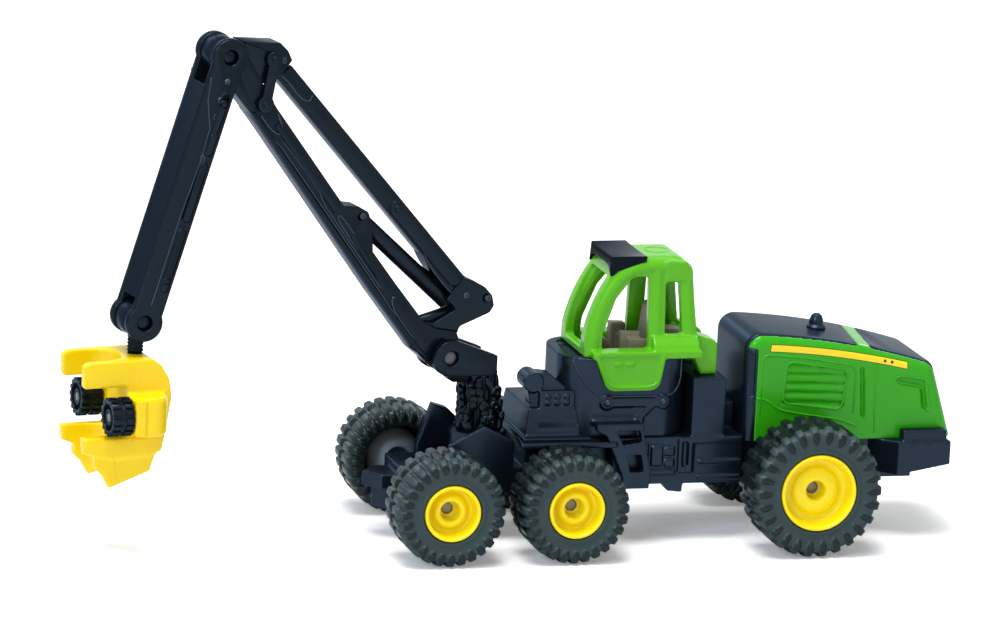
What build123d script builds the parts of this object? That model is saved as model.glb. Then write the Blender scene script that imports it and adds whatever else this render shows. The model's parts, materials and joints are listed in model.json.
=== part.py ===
from build123d import *
import os
from math import cos, hypot, pi, sin

# Small toy forestry harvester: six-wheeled carrier with an open cab, a two-part crane and a
# harvester head. Millimetres. While the pieces are made, X is the distance behind the front axle,
# Y is zero on the carrier's centre line with the near side negative, and Z is up from the ground.
# At the end all pieces are moved along X so that the origin is under the middle of the whole toy.

# Wheels
BOGIE_BASE = 16.9
REAR_BASE = 33.3
HALF_TRACK = 18.4
FRONT_TYRE_R = 7.4
FRONT_TYRE_W = 8.8
FRONT_SIDEWALL = 3.6
FRONT_LUGS = 28
REAR_TYRE_R = 9.0
REAR_TYRE_W = 8.6
REAR_SIDEWALL = 3.8
REAR_LUGS = 26
LUG_HEIGHT = 0.45
LUG_WIDTH = 0.8
SMOOTH_BAND = 1.3
SHOULDER_INSET = 1.1
RIM_SIDES = 14
AXLE_R = 0.75
AXLE_RECESS = 3.6
HUB_HOLE_R = 1.3

# Clearances between pieces that move against each other
RUN_GAP = 0.05
SIDE_GAP = 0.15

# Front frame and deck
FRAME_HALF = 5.0
FRAME_TOP = 10.0
FRAME_BOTTOM = 5.4
FRAME_FRONT_X = -3.6
NOSE_X = -7.9
NOSE_HALF = 2.8
NOSE_TOP = 8.9
NOSE_BOTTOM = 6.9
TONGUE_BOTTOM = 4.0
DECK_HALF = HALF_TRACK - FRONT_TYRE_W - 0.2
DECK_TOP = 14.4
DECK_T = 0.8
DECK_FRONT_X = 11.3
DECK_REAR_X = 24.5

# Tool box in front of the cab
BOX_FRONT_X = 13.1
BOX_REAR_X = 21.3
BOX_TOP = 18.4
BOX_FLARE = 0.6

# Cab base, the round dark tub that carries the cab
TUB_AHEAD = 2.8
TUB_SHORT = 1.0
TUB_HALF = DECK_HALF - 2.4
TUB_TOP = 25.2
TUB_CORNER = 4.6
TUB_WALL = 1.3
TUB_FLOOR = 22.0
BOX_HALF = TUB_HALF - 0.8
RELIEF = 0.35

# Cab moulding
CAB_FRONT_X = 20.4
CAB_LENGTH = 15.9
CAB_HALF = TUB_HALF - 1.0
ROOF_HALF = CAB_HALF - 1.2
ROOF_TOP = 38.4
ROOF_ROUND = 1.6
CAB_WALL = 1.3
LEDGE_T = 1.0
DOOR_FRONT_X = CAB_FRONT_X + 0.8
DOOR_LENGTH = 10.2
DOOR_BOTTOM = 20.9
DOOR_T = 0.7
BRACKET_HALF = 5.3
BRACKET_LEG = 3.2
BRACKET_DEPTH = 2.8

# Rear carrier and engine hood
CARRIER_HALF = HALF_TRACK - REAR_TYRE_W - 2.4
CARRIER_BOTTOM = 8.0
BLOCK_LENGTH = 3.7
BLOCK_TOP = 22.4
HOOD_GAP = 2.6
HOOD_LENGTH = 29.6
HOOD_HALF = CARRIER_HALF + 0.1
HOOD_TOP = 28.4
HOOD_BOTTOM = 13.6
HOOD_ROUND = 1.6
COLUMN_DEPTH = 1.5
COLUMN_TOP = 26.2
LID_T = 1.2
LID_HALF = HOOD_HALF - 0.8
BEACON_R = 1.3
BEACON_HEIGHT = 2.0
BAND_WIDTH = 1.9
BAND_SLANT = 0.15
BUMPER_LENGTH = 10.8
BUMPER_BOTTOM = 9.0
BUMPER_HALF = HALF_TRACK - REAR_TYRE_W - 0.2
BUMPER_CUT = 3.4
BUMPER_STEP = 1.5

# Places along the carrier that follow from the lengths above
CAB_REAR_X = CAB_FRONT_X + CAB_LENGTH
DOOR_REAR_X = DOOR_FRONT_X + DOOR_LENGTH
TUB_FRONT_X = CAB_FRONT_X - TUB_AHEAD
TUB_REAR_X = CAB_REAR_X - TUB_SHORT
BLOCK_REAR_X = CAB_REAR_X + BLOCK_LENGTH
HOOD_FRONT_X = BLOCK_REAR_X + HOOD_GAP
HOOD_REAR_X = HOOD_FRONT_X + HOOD_LENGTH
BEACON_X = HOOD_FRONT_X + 11.9
BAND_X = HOOD_REAR_X - 13.0
BUMPER_REAR_X = HOOD_REAR_X - 0.8
BUMPER_FRONT_X = BUMPER_REAR_X - BUMPER_LENGTH

# Crane: distances forward of the pillar's axis and heights above the ground, in the crane's plane
PILLAR_X = 7.7
PILLAR_R = 2.4
PILLAR_TOP = 22.4
LUFF_PIN = (5.6, 24.9)
ELBOW_PIN = (38.5, 66.5)
TIP_PIN = (49.2, 32.0)
CRANE_SLEW = 9.0
FORK_HALF = 3.4
FORK_SLOT = 4.0
EYE_R = 2.45
PIN_R = 1.0
PIN_SUNK = 0.7
STICK_DEPTH = 4.0
STICK_SLOT = 9.0
STICK_SLOT_FRONT = 2.9
STICK_SLOT_LOW = 2.75
TOP_BEAM_DEPTH = 2.45
TOP_BEAM_HALF = 1.6
HEX_R = 0.45

# Harvester head
STEM_R = 0.95
STEM_RIB = 0.12
HEAD_TOP = 27.5
HEAD_BACK = 45.6
HEAD_FRONT = 57.8
LOG_AXIS = 54.6
GRIP_R = 3.3
ARM_T = 1.2
ARM_LOW_TOP = 17.5
ARM_HIGH_BOTTOM = 24.0
GRIP_RELIEF = 0.4
ROLLER_R = 2.55
ROLLER_LENGTH = 2.9
ROLLER_RIBS = 16
ROLLER_RIB = 0.3
ROLLER_BACK = 51.9
ROLLER_Z = 20.5
ROLLER_PIN_R = 0.6

FRONT_RIM_R = FRONT_TYRE_R - FRONT_SIDEWALL
REAR_RIM_R = REAR_TYRE_R - REAR_SIDEWALL
MID_X = BOGIE_BASE
REAR_X = BOGIE_BASE + REAR_BASE
LUG_HALF = FORK_SLOT / 2 - SIDE_GAP
HEAD_HALF = GRIP_R + ARM_T


def block(x0, x1, y0, y1, z0, z1):
    """Box between two corners."""
    return Pos((x0 + x1) / 2, (y0 + y1) / 2, (z0 + z1) / 2) * Box(x1 - x0, y1 - y0, z1 - z0)


def plate(points, y0, y1):
    """Flat plate: an outline of (x, z) points, carried from y0 to y1."""
    outline = Polyline(*[(x, 0, z) for x, z in points], close=True)
    return Pos(0, y0, 0) * extrude(make_face(outline), amount=y1 - y0, dir=(0, 1, 0))


def slab(points, z0, z1):
    """Flat slab: an outline of (x, y) points, carried from z0 to z1."""
    outline = Polyline(*points, close=True)
    return Pos(0, 0, z0) * extrude(make_face(outline), amount=z1 - z0, dir=(0, 0, 1))


def rod_y(x, z, radius, y0, y1):
    """Round rod along Y."""
    return Pos(x, (y0 + y1) / 2, z) * Rot(90, 0, 0) * Cylinder(radius, y1 - y0)


def rod_between(start, end, radius):
    """Round rod from one point to another."""
    line = Vector(*end) - Vector(*start)
    middle = (Vector(*end) + Vector(*start)) / 2
    return Plane(origin=middle, z_dir=line) * Cylinder(radius, line.length)


def bar(start, end, radius, y0, y1):
    """Flat bar with round ends between two (x, z) points, carried from y0 to y1."""
    run = hypot(end[0] - start[0], end[1] - start[1])
    sx = -(end[1] - start[1]) / run * radius
    sz = (end[0] - start[0]) / run * radius
    body = plate([(start[0] + sx, start[1] + sz), (end[0] + sx, end[1] + sz),
                  (end[0] - sx, end[1] - sz), (start[0] - sx, start[1] - sz)], y0, y1)
    return body + rod_y(*start, radius, y0, y1) + rod_y(*end, radius, y0, y1)


def outward(side, inner, outer):
    """The pair of Y values for a piece that reaches from inner to outer on one side."""
    return sorted((side * inner, side * outer))


def turned(profile, x, z, side):
    """Ring about an axle: a closed outline of (distance in from the outer face, radius) points."""
    points = [(0, side * (HALF_TRACK - inset), radius) for inset, radius in profile]
    return Pos(x, 0, z) * revolve(make_face(Polyline(*points, close=True)), Axis.Y)


# Wheels

def ring(inset, radius, count, shift, side):
    """Corners of a regular polygon about an axle, the first one straight down plus a shift in steps."""
    turns = [2 * pi * (step + shift) / count for step in range(count)]
    return [Vector(radius * sin(turn), side * (HALF_TRACK - inset), -radius * cos(turn)) for turn in turns]


def belt(first, second):
    """Flat four-sided faces between two rings of as many corners."""
    count = len(first)
    return [Face(Wire.make_polygon([first[i], first[(i + 1) % count], second[(i + 1) % count], second[i]]))
            for i in range(count)]


def lug_row(inset, edge, width, radius, lugs, side):
    """One half's lugs: bars across the tread that narrow over the shoulder and end on the sidewall."""
    half_turn = LUG_WIDTH / 2 / radius
    half_share = half_turn * lugs / (2 * pi)
    taper = 1 - LUG_HEIGHT / radius
    sidewall = ring(edge, 0.79 * radius, lugs, 0, side)
    rows = []
    for place, size in ((inset, 1.0), (edge + (SHOULDER_INSET if edge < width / 2 else -SHOULDER_INSET), taper)):
        tip = radius * size / cos(half_turn)
        rows.append((ring(place, (radius - LUG_HEIGHT) * size, lugs, -0.5, side),
                     ring(place, tip, lugs, -half_share, side), ring(place, tip, lugs, half_share, side)))
    (valley, left, right), (low_valley, low_left, low_right) = rows
    faces = []
    for i in range(lugs):
        after = (i + 1) % lugs
        for outline in ((valley[i], left[i], low_left[i], low_valley[i]),
                        (left[i], right[i], low_right[i], low_left[i]),
                        (right[i], valley[after], low_valley[after], low_right[i]),
                        (valley[i], left[i], right[i], valley[after]),
                        (low_valley[i], low_left[i], sidewall[i]),
                        (low_left[i], low_right[i], sidewall[i]),
                        (low_right[i], low_valley[after], sidewall[i]),
                        (sidewall[i], low_valley[after], sidewall[after])):
            faces.append(Face(Wire.make_polygon(list(outline))))
    return faces, valley, sidewall


def tyre(x, radius, width, rim_r, lugs, side):
    """Fat tyre: a smooth middle band between two rows of lugs, and a hollow behind the hub."""
    hollow_r = rim_r + 1.0
    seat = 0.45 * width
    band = (width - SMOOTH_BAND) / 2
    outer_faces, outer_valley, outer_wall = lug_row(band, 0, width, radius, lugs, side)
    inner_faces, inner_valley, inner_wall = lug_row(width - band, width, width, radius, lugs, side)
    fit = rim_r / cos(pi / RIM_SIDES) + 0.02
    lip, throat, stop = [ring(inset, size, RIM_SIDES, 0, side)
                         for inset, size in ((0, fit + 0.45), (0.5, fit), (seat, fit))]
    step, back = [ring(inset, hollow_r, RIM_SIDES, 0, side) for inset in (seat, width)]
    faces = outer_faces + inner_faces + belt(outer_valley, inner_valley)
    faces += belt(lip, throat) + belt(throat, stop) + belt(step, back)
    for outline, hole in ((outer_wall, lip), (inner_wall, back), (step, stop)):
        faces.append(Face(Wire.make_polygon(outline), [Wire.make_polygon(hole)]))
    return Pos(x, 0, radius) * Solid(Shell(faces))


def hub(x, radius, width, rim_r, side):
    """Deep dished hub: steep rim, ring-shaped floor, raised disc with a hole for the axle's end."""
    floor = 0.28 * width
    seat = 0.45 * width
    disc_r = 0.6 * rim_r
    profile = [
        (0.45, rim_r), (0.2, rim_r - 0.15), (0.2, rim_r - 0.45), (0.5, rim_r - 0.6),
        (floor, 0.83 * rim_r), (floor, disc_r + 0.2), (0.8 * floor, disc_r), (0.66 * floor, HUB_HOLE_R + 0.5),
        (0.7 * floor, HUB_HOLE_R), (AXLE_RECESS, 0.9 * HUB_HOLE_R), (AXLE_RECESS, AXLE_R), (0.72 * width, AXLE_R),
        (0.71 * width, 0.35 * rim_r), (0.66 * width, 0.65 * rim_r), (seat + 0.8, 0.9 * rim_r), (seat, rim_r),
    ]
    return turned(profile, x, radius, side)


def axle(x, radius):
    """Steel pin that runs through the frame and both hubs."""
    end = HALF_TRACK - AXLE_RECESS - 0.2
    return rod_y(x, radius, AXLE_R, -end, end)


# Carrier

def front_frame():
    """Narrow frame between the bogie wheels, with a pointed nose, tongue, axle tubes and crane seat."""
    body = block(FRAME_FRONT_X, DECK_REAR_X, -FRAME_HALF, FRAME_HALF, FRAME_BOTTOM + 1.3, FRAME_TOP)
    for tip_x, low, high in ((NOSE_X, NOSE_BOTTOM, NOSE_TOP), (NOSE_X + 1.4, TONGUE_BOTTOM, NOSE_BOTTOM)):
        body += slab([(tip_x, 0), (tip_x + 1.95, -NOSE_HALF), (FRAME_FRONT_X + 1.7, -NOSE_HALF),
                      (FRAME_FRONT_X + 1.7, NOSE_HALF), (tip_x + 1.95, NOSE_HALF)], low, high)
    tube_end = HALF_TRACK - 0.72 * FRONT_TYRE_W - 2 * SIDE_GAP
    for x in (0.0, MID_X):
        body += rod_y(x, FRONT_TYRE_R, 1.7, -tube_end, tube_end)
        body += block(x - 1.7, x + 1.7, -FRAME_HALF, FRAME_HALF, FRAME_BOTTOM, FRAME_TOP)
    seat_r = PILLAR_R + 1.4
    body += Pos(PILLAR_X, 0, (FRAME_TOP + DECK_TOP) / 2) * Cylinder(seat_r, DECK_TOP - FRAME_TOP)
    gusset = [(2.6, FRAME_TOP - 1), (2.6, FRAME_TOP + 3.2), (7.4, FRAME_TOP + 5.8),
              (DECK_FRONT_X + 0.3, DECK_TOP - DECK_T), (DECK_FRONT_X + 0.3, FRAME_TOP - 1)]
    body += plate(gusset, -FRAME_HALF, -FRAME_HALF + 1.0)
    guard = [(0.4, FRAME_TOP - 1), (0.4, FRAME_TOP + 1.5), (2.4, FRAME_TOP + 7.0), (4.4, FRAME_TOP + 6.4),
             (7.6, FRAME_TOP + 3.4), (7.6, FRAME_TOP - 1)]
    body += plate(guard, FRAME_HALF - 1.6, FRAME_HALF)
    body += block(DECK_FRONT_X + 1.8, DECK_REAR_X, -FRAME_HALF, FRAME_HALF, FRAME_TOP - 1, DECK_TOP - DECK_T)
    for x in (0.0, MID_X):
        body -= rod_y(x, FRONT_TYRE_R, AXLE_R + RUN_GAP, -tube_end - 1, tube_end + 1)
    return body - Pos(PILLAR_X, 0, DECK_TOP) * Cylinder(PILLAR_R * 0.7 + RUN_GAP, 2 * (DECK_TOP - FRAME_TOP))


def deck():
    """Thin walkway plate over the bogie, cut round the crane seat."""
    notch = PILLAR_R + 1.5
    plan = [(DECK_FRONT_X, -DECK_HALF), (DECK_REAR_X, -DECK_HALF), (DECK_REAR_X, DECK_HALF),
            (DECK_FRONT_X, DECK_HALF), (DECK_FRONT_X + 0.8, notch), (DECK_FRONT_X + 0.8, -notch)]
    return slab(plan, DECK_TOP - DECK_T, DECK_TOP)


def tool_box():
    """Flared box on the deck: sunk side panel, dotted box and lying roll on its lid, locker behind."""
    levels = ((DECK_TOP, BOX_FLARE, BOX_FLARE), (BOX_TOP, 0, 0))
    sheets = [Pos(0, 0, z) * make_face(Polyline(
        (BOX_FRONT_X - dx, -BOX_HALF - dy), (BOX_REAR_X - 1.2, -BOX_HALF - dy), (BOX_REAR_X - 1.2, BOX_HALF + dy),
        (BOX_FRONT_X - dx, BOX_HALF + dy), close=True)) for z, dx, dy in levels]
    body = loft(sheets)
    body += block(BOX_REAR_X - 1.3, BOX_REAR_X, -BOX_HALF - 0.3, BOX_HALF + 0.3, DECK_TOP, BOX_TOP - 0.2)
    body += slab([(BOX_FRONT_X - 1.2, -BOX_HALF - 2), (BOX_REAR_X, -BOX_HALF - 2), (BOX_REAR_X, BOX_HALF + 2),
                  (BOX_FRONT_X - 1.2, BOX_HALF + 2)], DECK_TOP, DECK_TOP + 0.4)
    for side in (-1, 1):
        y0, y1 = outward(side, BOX_HALF + 0.25, BOX_HALF + 2)
        body -= plate([(BOX_FRONT_X + 1.0, DECK_TOP + 1.1), (BOX_FRONT_X + 1.3, BOX_TOP - 0.5),
                       (BOX_REAR_X - 1.9, BOX_TOP - 0.5), (BOX_REAR_X - 1.9, DECK_TOP + 1.1)], y0, y1)
    low = BOX_TOP - 0.3
    high = BOX_TOP + 2.3
    body += block(BOX_FRONT_X + 1.4, BOX_FRONT_X + 6.3, -BOX_HALF + 0.1, -BOX_HALF + 3.4, low, high)
    for column in range(3):
        for row in range(2):
            x = BOX_FRONT_X + 2.5 + 1.3 * column
            z = BOX_TOP + 0.75 + 0.85 * row
            body += rod_y(x, z, 0.33, -BOX_HALF - 0.1, -BOX_HALF + 0.2)
    roll_x = BOX_FRONT_X + 0.6
    roll_z = BOX_TOP + 3.4
    body += rod_y(roll_x, roll_z, 1.35, -BOX_HALF + 0.6, -1.6)
    body += plate([(roll_x, low), (roll_x - 0.9, roll_z), (roll_x + 0.3, roll_z + 1.2), (roll_x + 2.4, roll_z + 1.0),
                   (roll_x + 4.6, high + 0.3), (roll_x + 4.6, low)], -BOX_HALF + 1.2, -2.2)
    return body


def tub_plan(shrink):
    """Rounded plan of the tub, drawn in by shrink all round."""
    length = TUB_REAR_X - TUB_FRONT_X - 2 * shrink
    width = 2 * (TUB_HALF - shrink)
    middle = (TUB_FRONT_X + TUB_REAR_X) / 2
    corner = min(TUB_CORNER, TUB_HALF - 1.0)
    return Pos(middle, 0) * RectangleRounded(length, width, max(corner - shrink, 0.5))


def door_outline(shrink):
    """Door panel's outline, drawn in by shrink: straight sides that lean in and round lower corners."""
    corners = [(DOOR_FRONT_X, TUB_TOP + LEDGE_T), (DOOR_FRONT_X + 2.1, DOOR_BOTTOM), (DOOR_REAR_X - 0.9, DOOR_BOTTOM),
               (DOOR_REAR_X, TUB_TOP + LEDGE_T)]
    face = make_face(Polyline(*[(x, 0, z) for x, z in corners], close=True))
    face = fillet([v for v in face.vertices() if v.Z < DOOR_BOTTOM + 0.1], 1.6)
    return offset(face, -shrink) if shrink else face


def cab_base():
    """Hollow tub under the cab, open at the top, with a linkage in relief on both flanks."""
    body = extrude(Pos(0, 0, DECK_TOP) * tub_plan(0), amount=TUB_TOP - DECK_TOP)
    arm_z = DECK_TOP + 4.9
    for side in (-1, 1):
        y0, y1 = outward(side, TUB_HALF - 0.5, TUB_HALF + RELIEF)
        body += bar((23.5, arm_z), (31.2, arm_z), 0.6, y0, y1)
        body += bar((30.3, arm_z), (28.0, arm_z - 2.2), 0.35, y0, y1)
        body += block(21.5, 28.6, y0, y1, DECK_TOP + 2.0, DECK_TOP + 2.5)
        for x in (23.5, 31.2):
            body += rod_y(x, arm_z, 0.95, y0, y1)
            body += rod_y(x, arm_z, 0.4, *outward(side, TUB_HALF, TUB_HALF + RELIEF + 0.2))
    return body - extrude(Pos(0, 0, TUB_FLOOR) * tub_plan(TUB_WALL), amount=TUB_TOP)


def cab_outline(inset):
    """Side outline of the cab: curved front posts, flat roof and a steep back."""
    front = CAB_FRONT_X + inset
    rear = CAB_REAR_X - inset
    top = ROOF_TOP - inset
    foot = TUB_TOP
    return [
        Line((front, 0, foot), (front, 0, foot + 2.4)),
        ThreePointArc((front, 0, foot + 2.4), (front + 1.4, 0, foot + 7.2), (front + 4.3, 0, top - 1.0)),
        ThreePointArc((front + 4.3, 0, top - 1.0), (front + 5.1, 0, top - 0.25), (front + 6.2, 0, top)),
        Line((front + 6.2, 0, top), (rear - 3.2, 0, top)),
        ThreePointArc((rear - 3.2, 0, top), (rear - 1.9, 0, top - 0.6), (rear - 1.2, 0, top - 1.9)),
        Line((rear - 1.2, 0, top - 1.9), (rear, 0, foot)),
        Line((rear, 0, foot), (front, 0, foot)),
    ]


def cab_block(inset):
    """The cab's outer form drawn in by inset: side outline crossed with a tapering front view."""
    side_view = extrude(make_face(Wire(cab_outline(inset))), amount=2 * CAB_HALF, both=True)
    foot = CAB_HALF - inset
    top = ROOF_HALF - inset
    crown = ROOF_TOP - inset
    front_view = make_face(Polyline((0, -foot, TUB_TOP), (0, -top, crown), (0, top, crown), (0, foot, TUB_TOP),
                                    close=True))
    front_view = fillet([v for v in front_view.vertices() if v.Z > TUB_TOP + 1], ROOF_ROUND - 0.5 * inset)
    return side_view & (Pos(CAB_FRONT_X - 5, 0, 0) * extrude(front_view, amount=30, dir=(1, 0, 0)))


def window(points, radius):
    """Cutter through both flanks of the cab: an outline of (x, z) points with rounded corners."""
    face = make_face(Polyline(*[(x, 0, z) for x, z in points], close=True))
    return Pos(0, -2 * CAB_HALF, 0) * extrude(fillet(face.vertices(), radius), amount=4 * CAB_HALF, dir=(0, 1, 0))


def cab():
    """One-piece cab moulding with open windows, door panels and the bracket behind it."""
    body = cab_block(0) - cab_block(CAB_WALL)
    sill = TUB_TOP + 0.6
    head = ROOF_TOP - 2.5
    front = CAB_FRONT_X + 2.4
    post = CAB_REAR_X - 7.1
    body -= window([(front, sill), (front + 0.1, sill + 2.5), (front + 1.9, head - 2.9), (front + 4.1, head - 0.2),
                    (post, head), (post, sill)], 0.5)
    body -= window([(post + 2.3, sill + 2.2), (post + 2.3, head - 0.9), (CAB_REAR_X - 2.9, head - 0.9),
                    (CAB_REAR_X - 2.4, sill + 2.2)], 0.35)
    body -= block(CAB_FRONT_X - 5, CAB_FRONT_X + 6.0, -3.6, 3.6, TUB_TOP + 1.0, ROOF_TOP - 2.6)
    body -= block(CAB_REAR_X - 3, CAB_REAR_X + 3, -3.4, 3.4, TUB_TOP + 2.2, ROOF_TOP - 3.4)
    for side in (-1, 1):
        y0, y1 = outward(side, TUB_HALF, TUB_HALF + DOOR_T)
        body += Pos(0, y0, 0) * extrude(door_outline(0), amount=y1 - y0, dir=(0, 1, 0))
        y0, y1 = outward(side, CAB_HALF - CAB_WALL, TUB_HALF + DOOR_T)
        body += block(DOOR_FRONT_X, CAB_REAR_X, y0, y1, TUB_TOP, TUB_TOP + LEDGE_T)
        y0, y1 = outward(side, TUB_HALF + DOOR_T - 0.25, TUB_HALF + DOOR_T + 1)
        body -= Pos(0, y0, 0) * extrude(door_outline(0.6), amount=y1 - y0, dir=(0, 1, 0))
        y0, y1 = outward(side, BRACKET_HALF - BRACKET_LEG, BRACKET_HALF)
        body += plate([(CAB_REAR_X - 0.6, TUB_TOP), (CAB_REAR_X + 0.6, BLOCK_TOP),
                       (CAB_REAR_X + BRACKET_DEPTH, BLOCK_TOP), (CAB_REAR_X + BRACKET_DEPTH, TUB_TOP + 1.4),
                       (CAB_REAR_X + BRACKET_DEPTH - 0.6, TUB_TOP + 2.0), (CAB_REAR_X - 0.4, TUB_TOP + 2.8)], y0, y1)
        for x in (DOOR_FRONT_X + 3.6, DOOR_FRONT_X + 5.2):
            y0, y1 = outward(side, TUB_HALF + 0.3, TUB_HALF + DOOR_T)
            body += block(x - 0.6, x + 0.4, y0, y1, TUB_TOP - 0.9, TUB_TOP - 0.4)
    return body


def cab_interior():
    """Seat and consoles moulded as one piece that stands on the tub's floor."""
    body = block(22.5, 33.5, -4.0, 4.0, TUB_FLOOR, TUB_FLOOR + 0.8)
    body += block(27.2, 30.6, -2.2, 2.2, TUB_FLOOR + 0.8, 26.4)
    body += block(30.2, 31.6, -2.0, 2.0, TUB_FLOOR + 0.8, 31.2)
    for side in (-1, 1):
        y0, y1 = outward(side, 2.6, 4.0)
        body += block(25.4, 30.0, y0, y1, TUB_FLOOR + 0.8, 28.4)
    return body


def roof_visor():
    """Dark sun roof that caps the front of the roof, with a lip drawn down at both sides."""
    front = CAB_FRONT_X + 3.4
    half = ROOF_HALF - 0.2
    cap = plate([(front, ROOF_TOP - 2.0), (front + 0.3, ROOF_TOP + 0.25), (front + 5.0, ROOF_TOP + 0.25),
                 (front + 4.9, ROOF_TOP - 0.5), (front + 2.4, ROOF_TOP - 0.8)], -half, half)
    for side in (-1, 1):
        y0, y1 = outward(side, half - 0.8, half + 0.5)
        cap += plate([(front + 0.1, ROOF_TOP - 2.4), (front + 0.4, ROOF_TOP), (front + 4.8, ROOF_TOP),
                      (front + 4.6, ROOF_TOP - 0.8)], y0, y1)
    return cap - cab_block(0)


def rear_carrier():
    """Rear frame from the tub to the bumper, with valves in relief, cab block, feet and axle tube."""
    body = block(DECK_REAR_X, HOOD_FRONT_X, -CARRIER_HALF, CARRIER_HALF, CARRIER_BOTTOM, DECK_TOP)
    body += block(HOOD_FRONT_X, HOOD_REAR_X - 5.2, -6.4, 6.4, CARRIER_BOTTOM, HOOD_BOTTOM)
    body += block(TUB_REAR_X, BLOCK_REAR_X, -CARRIER_HALF, CARRIER_HALF, DECK_TOP, BLOCK_TOP)
    body += block(BLOCK_REAR_X, HOOD_FRONT_X, -3.0, 3.0, DECK_TOP, 18.0)
    reliefs = [(28.8, 33.2, 9.4, 10.0), (28.8, 29.4, 9.4, 13.6), (29.9, 31.4, 10.6, 13.2), (31.8, 33.0, 10.4, 11.4),
               (31.8, 33.0, 12.0, 13.0), (33.6, 35.6, 9.6, DECK_TOP), (35.2, 42.4, 13.6, DECK_TOP),
               (36.4, 42.4, 10.8, 11.2), (36.4, 42.4, 8.6, 9.0)]
    for side in (-1, 1):
        y0, y1 = outward(side, CARRIER_HALF - 0.5, CARRIER_HALF + RELIEF)
        for x0, x1, z0, z1 in reliefs:
            body += block(x0, x1, y0, y1, z0, z1)
        body -= block(34.2, 35.0, *outward(side, CARRIER_HALF - 0.3, CARRIER_HALF + 1), 10.4, DECK_TOP - 0.6)
        body += plate([(31.4, CARRIER_BOTTOM + 0.4), (34.5, CARRIER_BOTTOM + 0.4), (34.4, CARRIER_BOTTOM - 1.2),
                       (32.4, CARRIER_BOTTOM - 1.0)], *outward(side, CARRIER_HALF - 2.4, CARRIER_HALF))
    tube_end = HALF_TRACK - 0.72 * REAR_TYRE_W - 2 * SIDE_GAP
    body += rod_y(REAR_X, REAR_TYRE_R, 2.0, -tube_end, tube_end)
    return body - rod_y(REAR_X, REAR_TYRE_R, AXLE_R + RUN_GAP, -tube_end - 1, tube_end + 1)


def step_ladder(side):
    """Leaning step hung beside the tub: a top plate and two rails with two gaps between them."""
    top = DECK_TOP + 2.4
    y0, y1 = outward(side, DECK_HALF - 1.3, DECK_HALF)
    frame = plate([(21.6, top), (28.1, top), (28.1, 15.9), (29.35, 10.0), (29.2, 7.9), (25.7, 7.9), (25.3, 9.9),
                   (23.0, 15.2), (21.6, 15.9)], y0, y1)
    for gap in ([(24.4, 15.9), (27.6, 15.9), (27.9, 14.3), (25.4, 13.9)],
                [(26.0, 12.6), (27.9, 12.6), (28.3, 10.2), (26.5, 10.2)]):
        frame -= plate(gap, *outward(side, DECK_HALF - 2, DECK_HALF + 1))
    y0, y1 = outward(side, TUB_HALF, DECK_HALF - 0.5)
    frame += block(21.8, 28.0, y0, y1, top - 0.7, top)
    y0, y1 = outward(side, CARRIER_HALF, DECK_HALF - 0.5)
    return frame + block(25.9, 29.0, y0, y1, 8.1, 9.6)


def bumper():
    """Rear weight with cut front corners, a sloping underside and a raised step on each side."""
    cut_x = BUMPER_FRONT_X + BUMPER_CUT
    low = [(BUMPER_FRONT_X, -6.5), (cut_x, -BUMPER_HALF), (BUMPER_REAR_X, -BUMPER_HALF),
           (BUMPER_REAR_X, BUMPER_HALF), (cut_x, BUMPER_HALF), (BUMPER_FRONT_X, 6.5)]
    body = slab(low, BUMPER_BOTTOM, HOOD_BOTTOM)
    body -= plate([(BUMPER_FRONT_X - 1, BUMPER_BOTTOM - 1), (BUMPER_REAR_X + 2, BUMPER_BOTTOM - 1),
                   (BUMPER_REAR_X + 2, BUMPER_BOTTOM + 1.7), (cut_x, BUMPER_BOTTOM)],
                  -BUMPER_HALF - 1, BUMPER_HALF + 1)
    for side in (-1, 1):
        y0, y1 = outward(side, HOOD_HALF + 0.05, BUMPER_HALF - 0.2)
        body += block(cut_x + 0.6, BUMPER_REAR_X - 0.6, y0, y1, HOOD_BOTTOM - 1, HOOD_BOTTOM + BUMPER_STEP)
        for x in (cut_x + 1.8, cut_x + 4.0):
            y0, y1 = outward(side, BUMPER_HALF - 0.5, BUMPER_HALF + 0.15)
            body += block(x, x + 0.35, y0, y1, BUMPER_BOTTOM + 2.2, HOOD_BOTTOM - 0.5)
    return body - block(BUMPER_FRONT_X - 1, HOOD_REAR_X - 5.2, -6.4, 6.4, CARRIER_BOTTOM, HOOD_BOTTOM)


def hood_block(inset):
    """The engine hood's outer form: arched side outline with round corners, and straight sides."""
    top = HOOD_TOP - inset
    rear = HOOD_REAR_X - inset
    front = HOOD_FRONT_X + inset
    shoulder = (rear - 3.1, 0, top - 4.5)
    middle = ((front + shoulder[0]) / 2 + 1.2, 0, top - 1.55)
    face = make_face(Wire([
        Line((front, 0, HOOD_BOTTOM), (front, 0, top)),
        ThreePointArc((front, 0, top), middle, shoulder),
        Line(shoulder, (rear, 0, HOOD_BOTTOM)),
        Line((rear, 0, HOOD_BOTTOM), (front, 0, HOOD_BOTTOM)),
    ]))
    face = fillet([v for v in face.vertices() if v.Z > HOOD_BOTTOM + 1], HOOD_ROUND + 0.6 - 0.5 * inset)
    half = HOOD_HALF - inset
    return Pos(0, -half, 0) * extrude(face, amount=2 * half, dir=(0, 1, 0))


def hood_rounded():
    """Hood form with its long top edges and its front corners rounded."""
    body = hood_block(0)
    edges = [e for e in body.edges() if abs(abs(e.center().Y) - HOOD_HALF) < 0.01
             and e.center().Z > HOOD_BOTTOM + 0.1]
    return fillet(edges, HOOD_ROUND)


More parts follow.
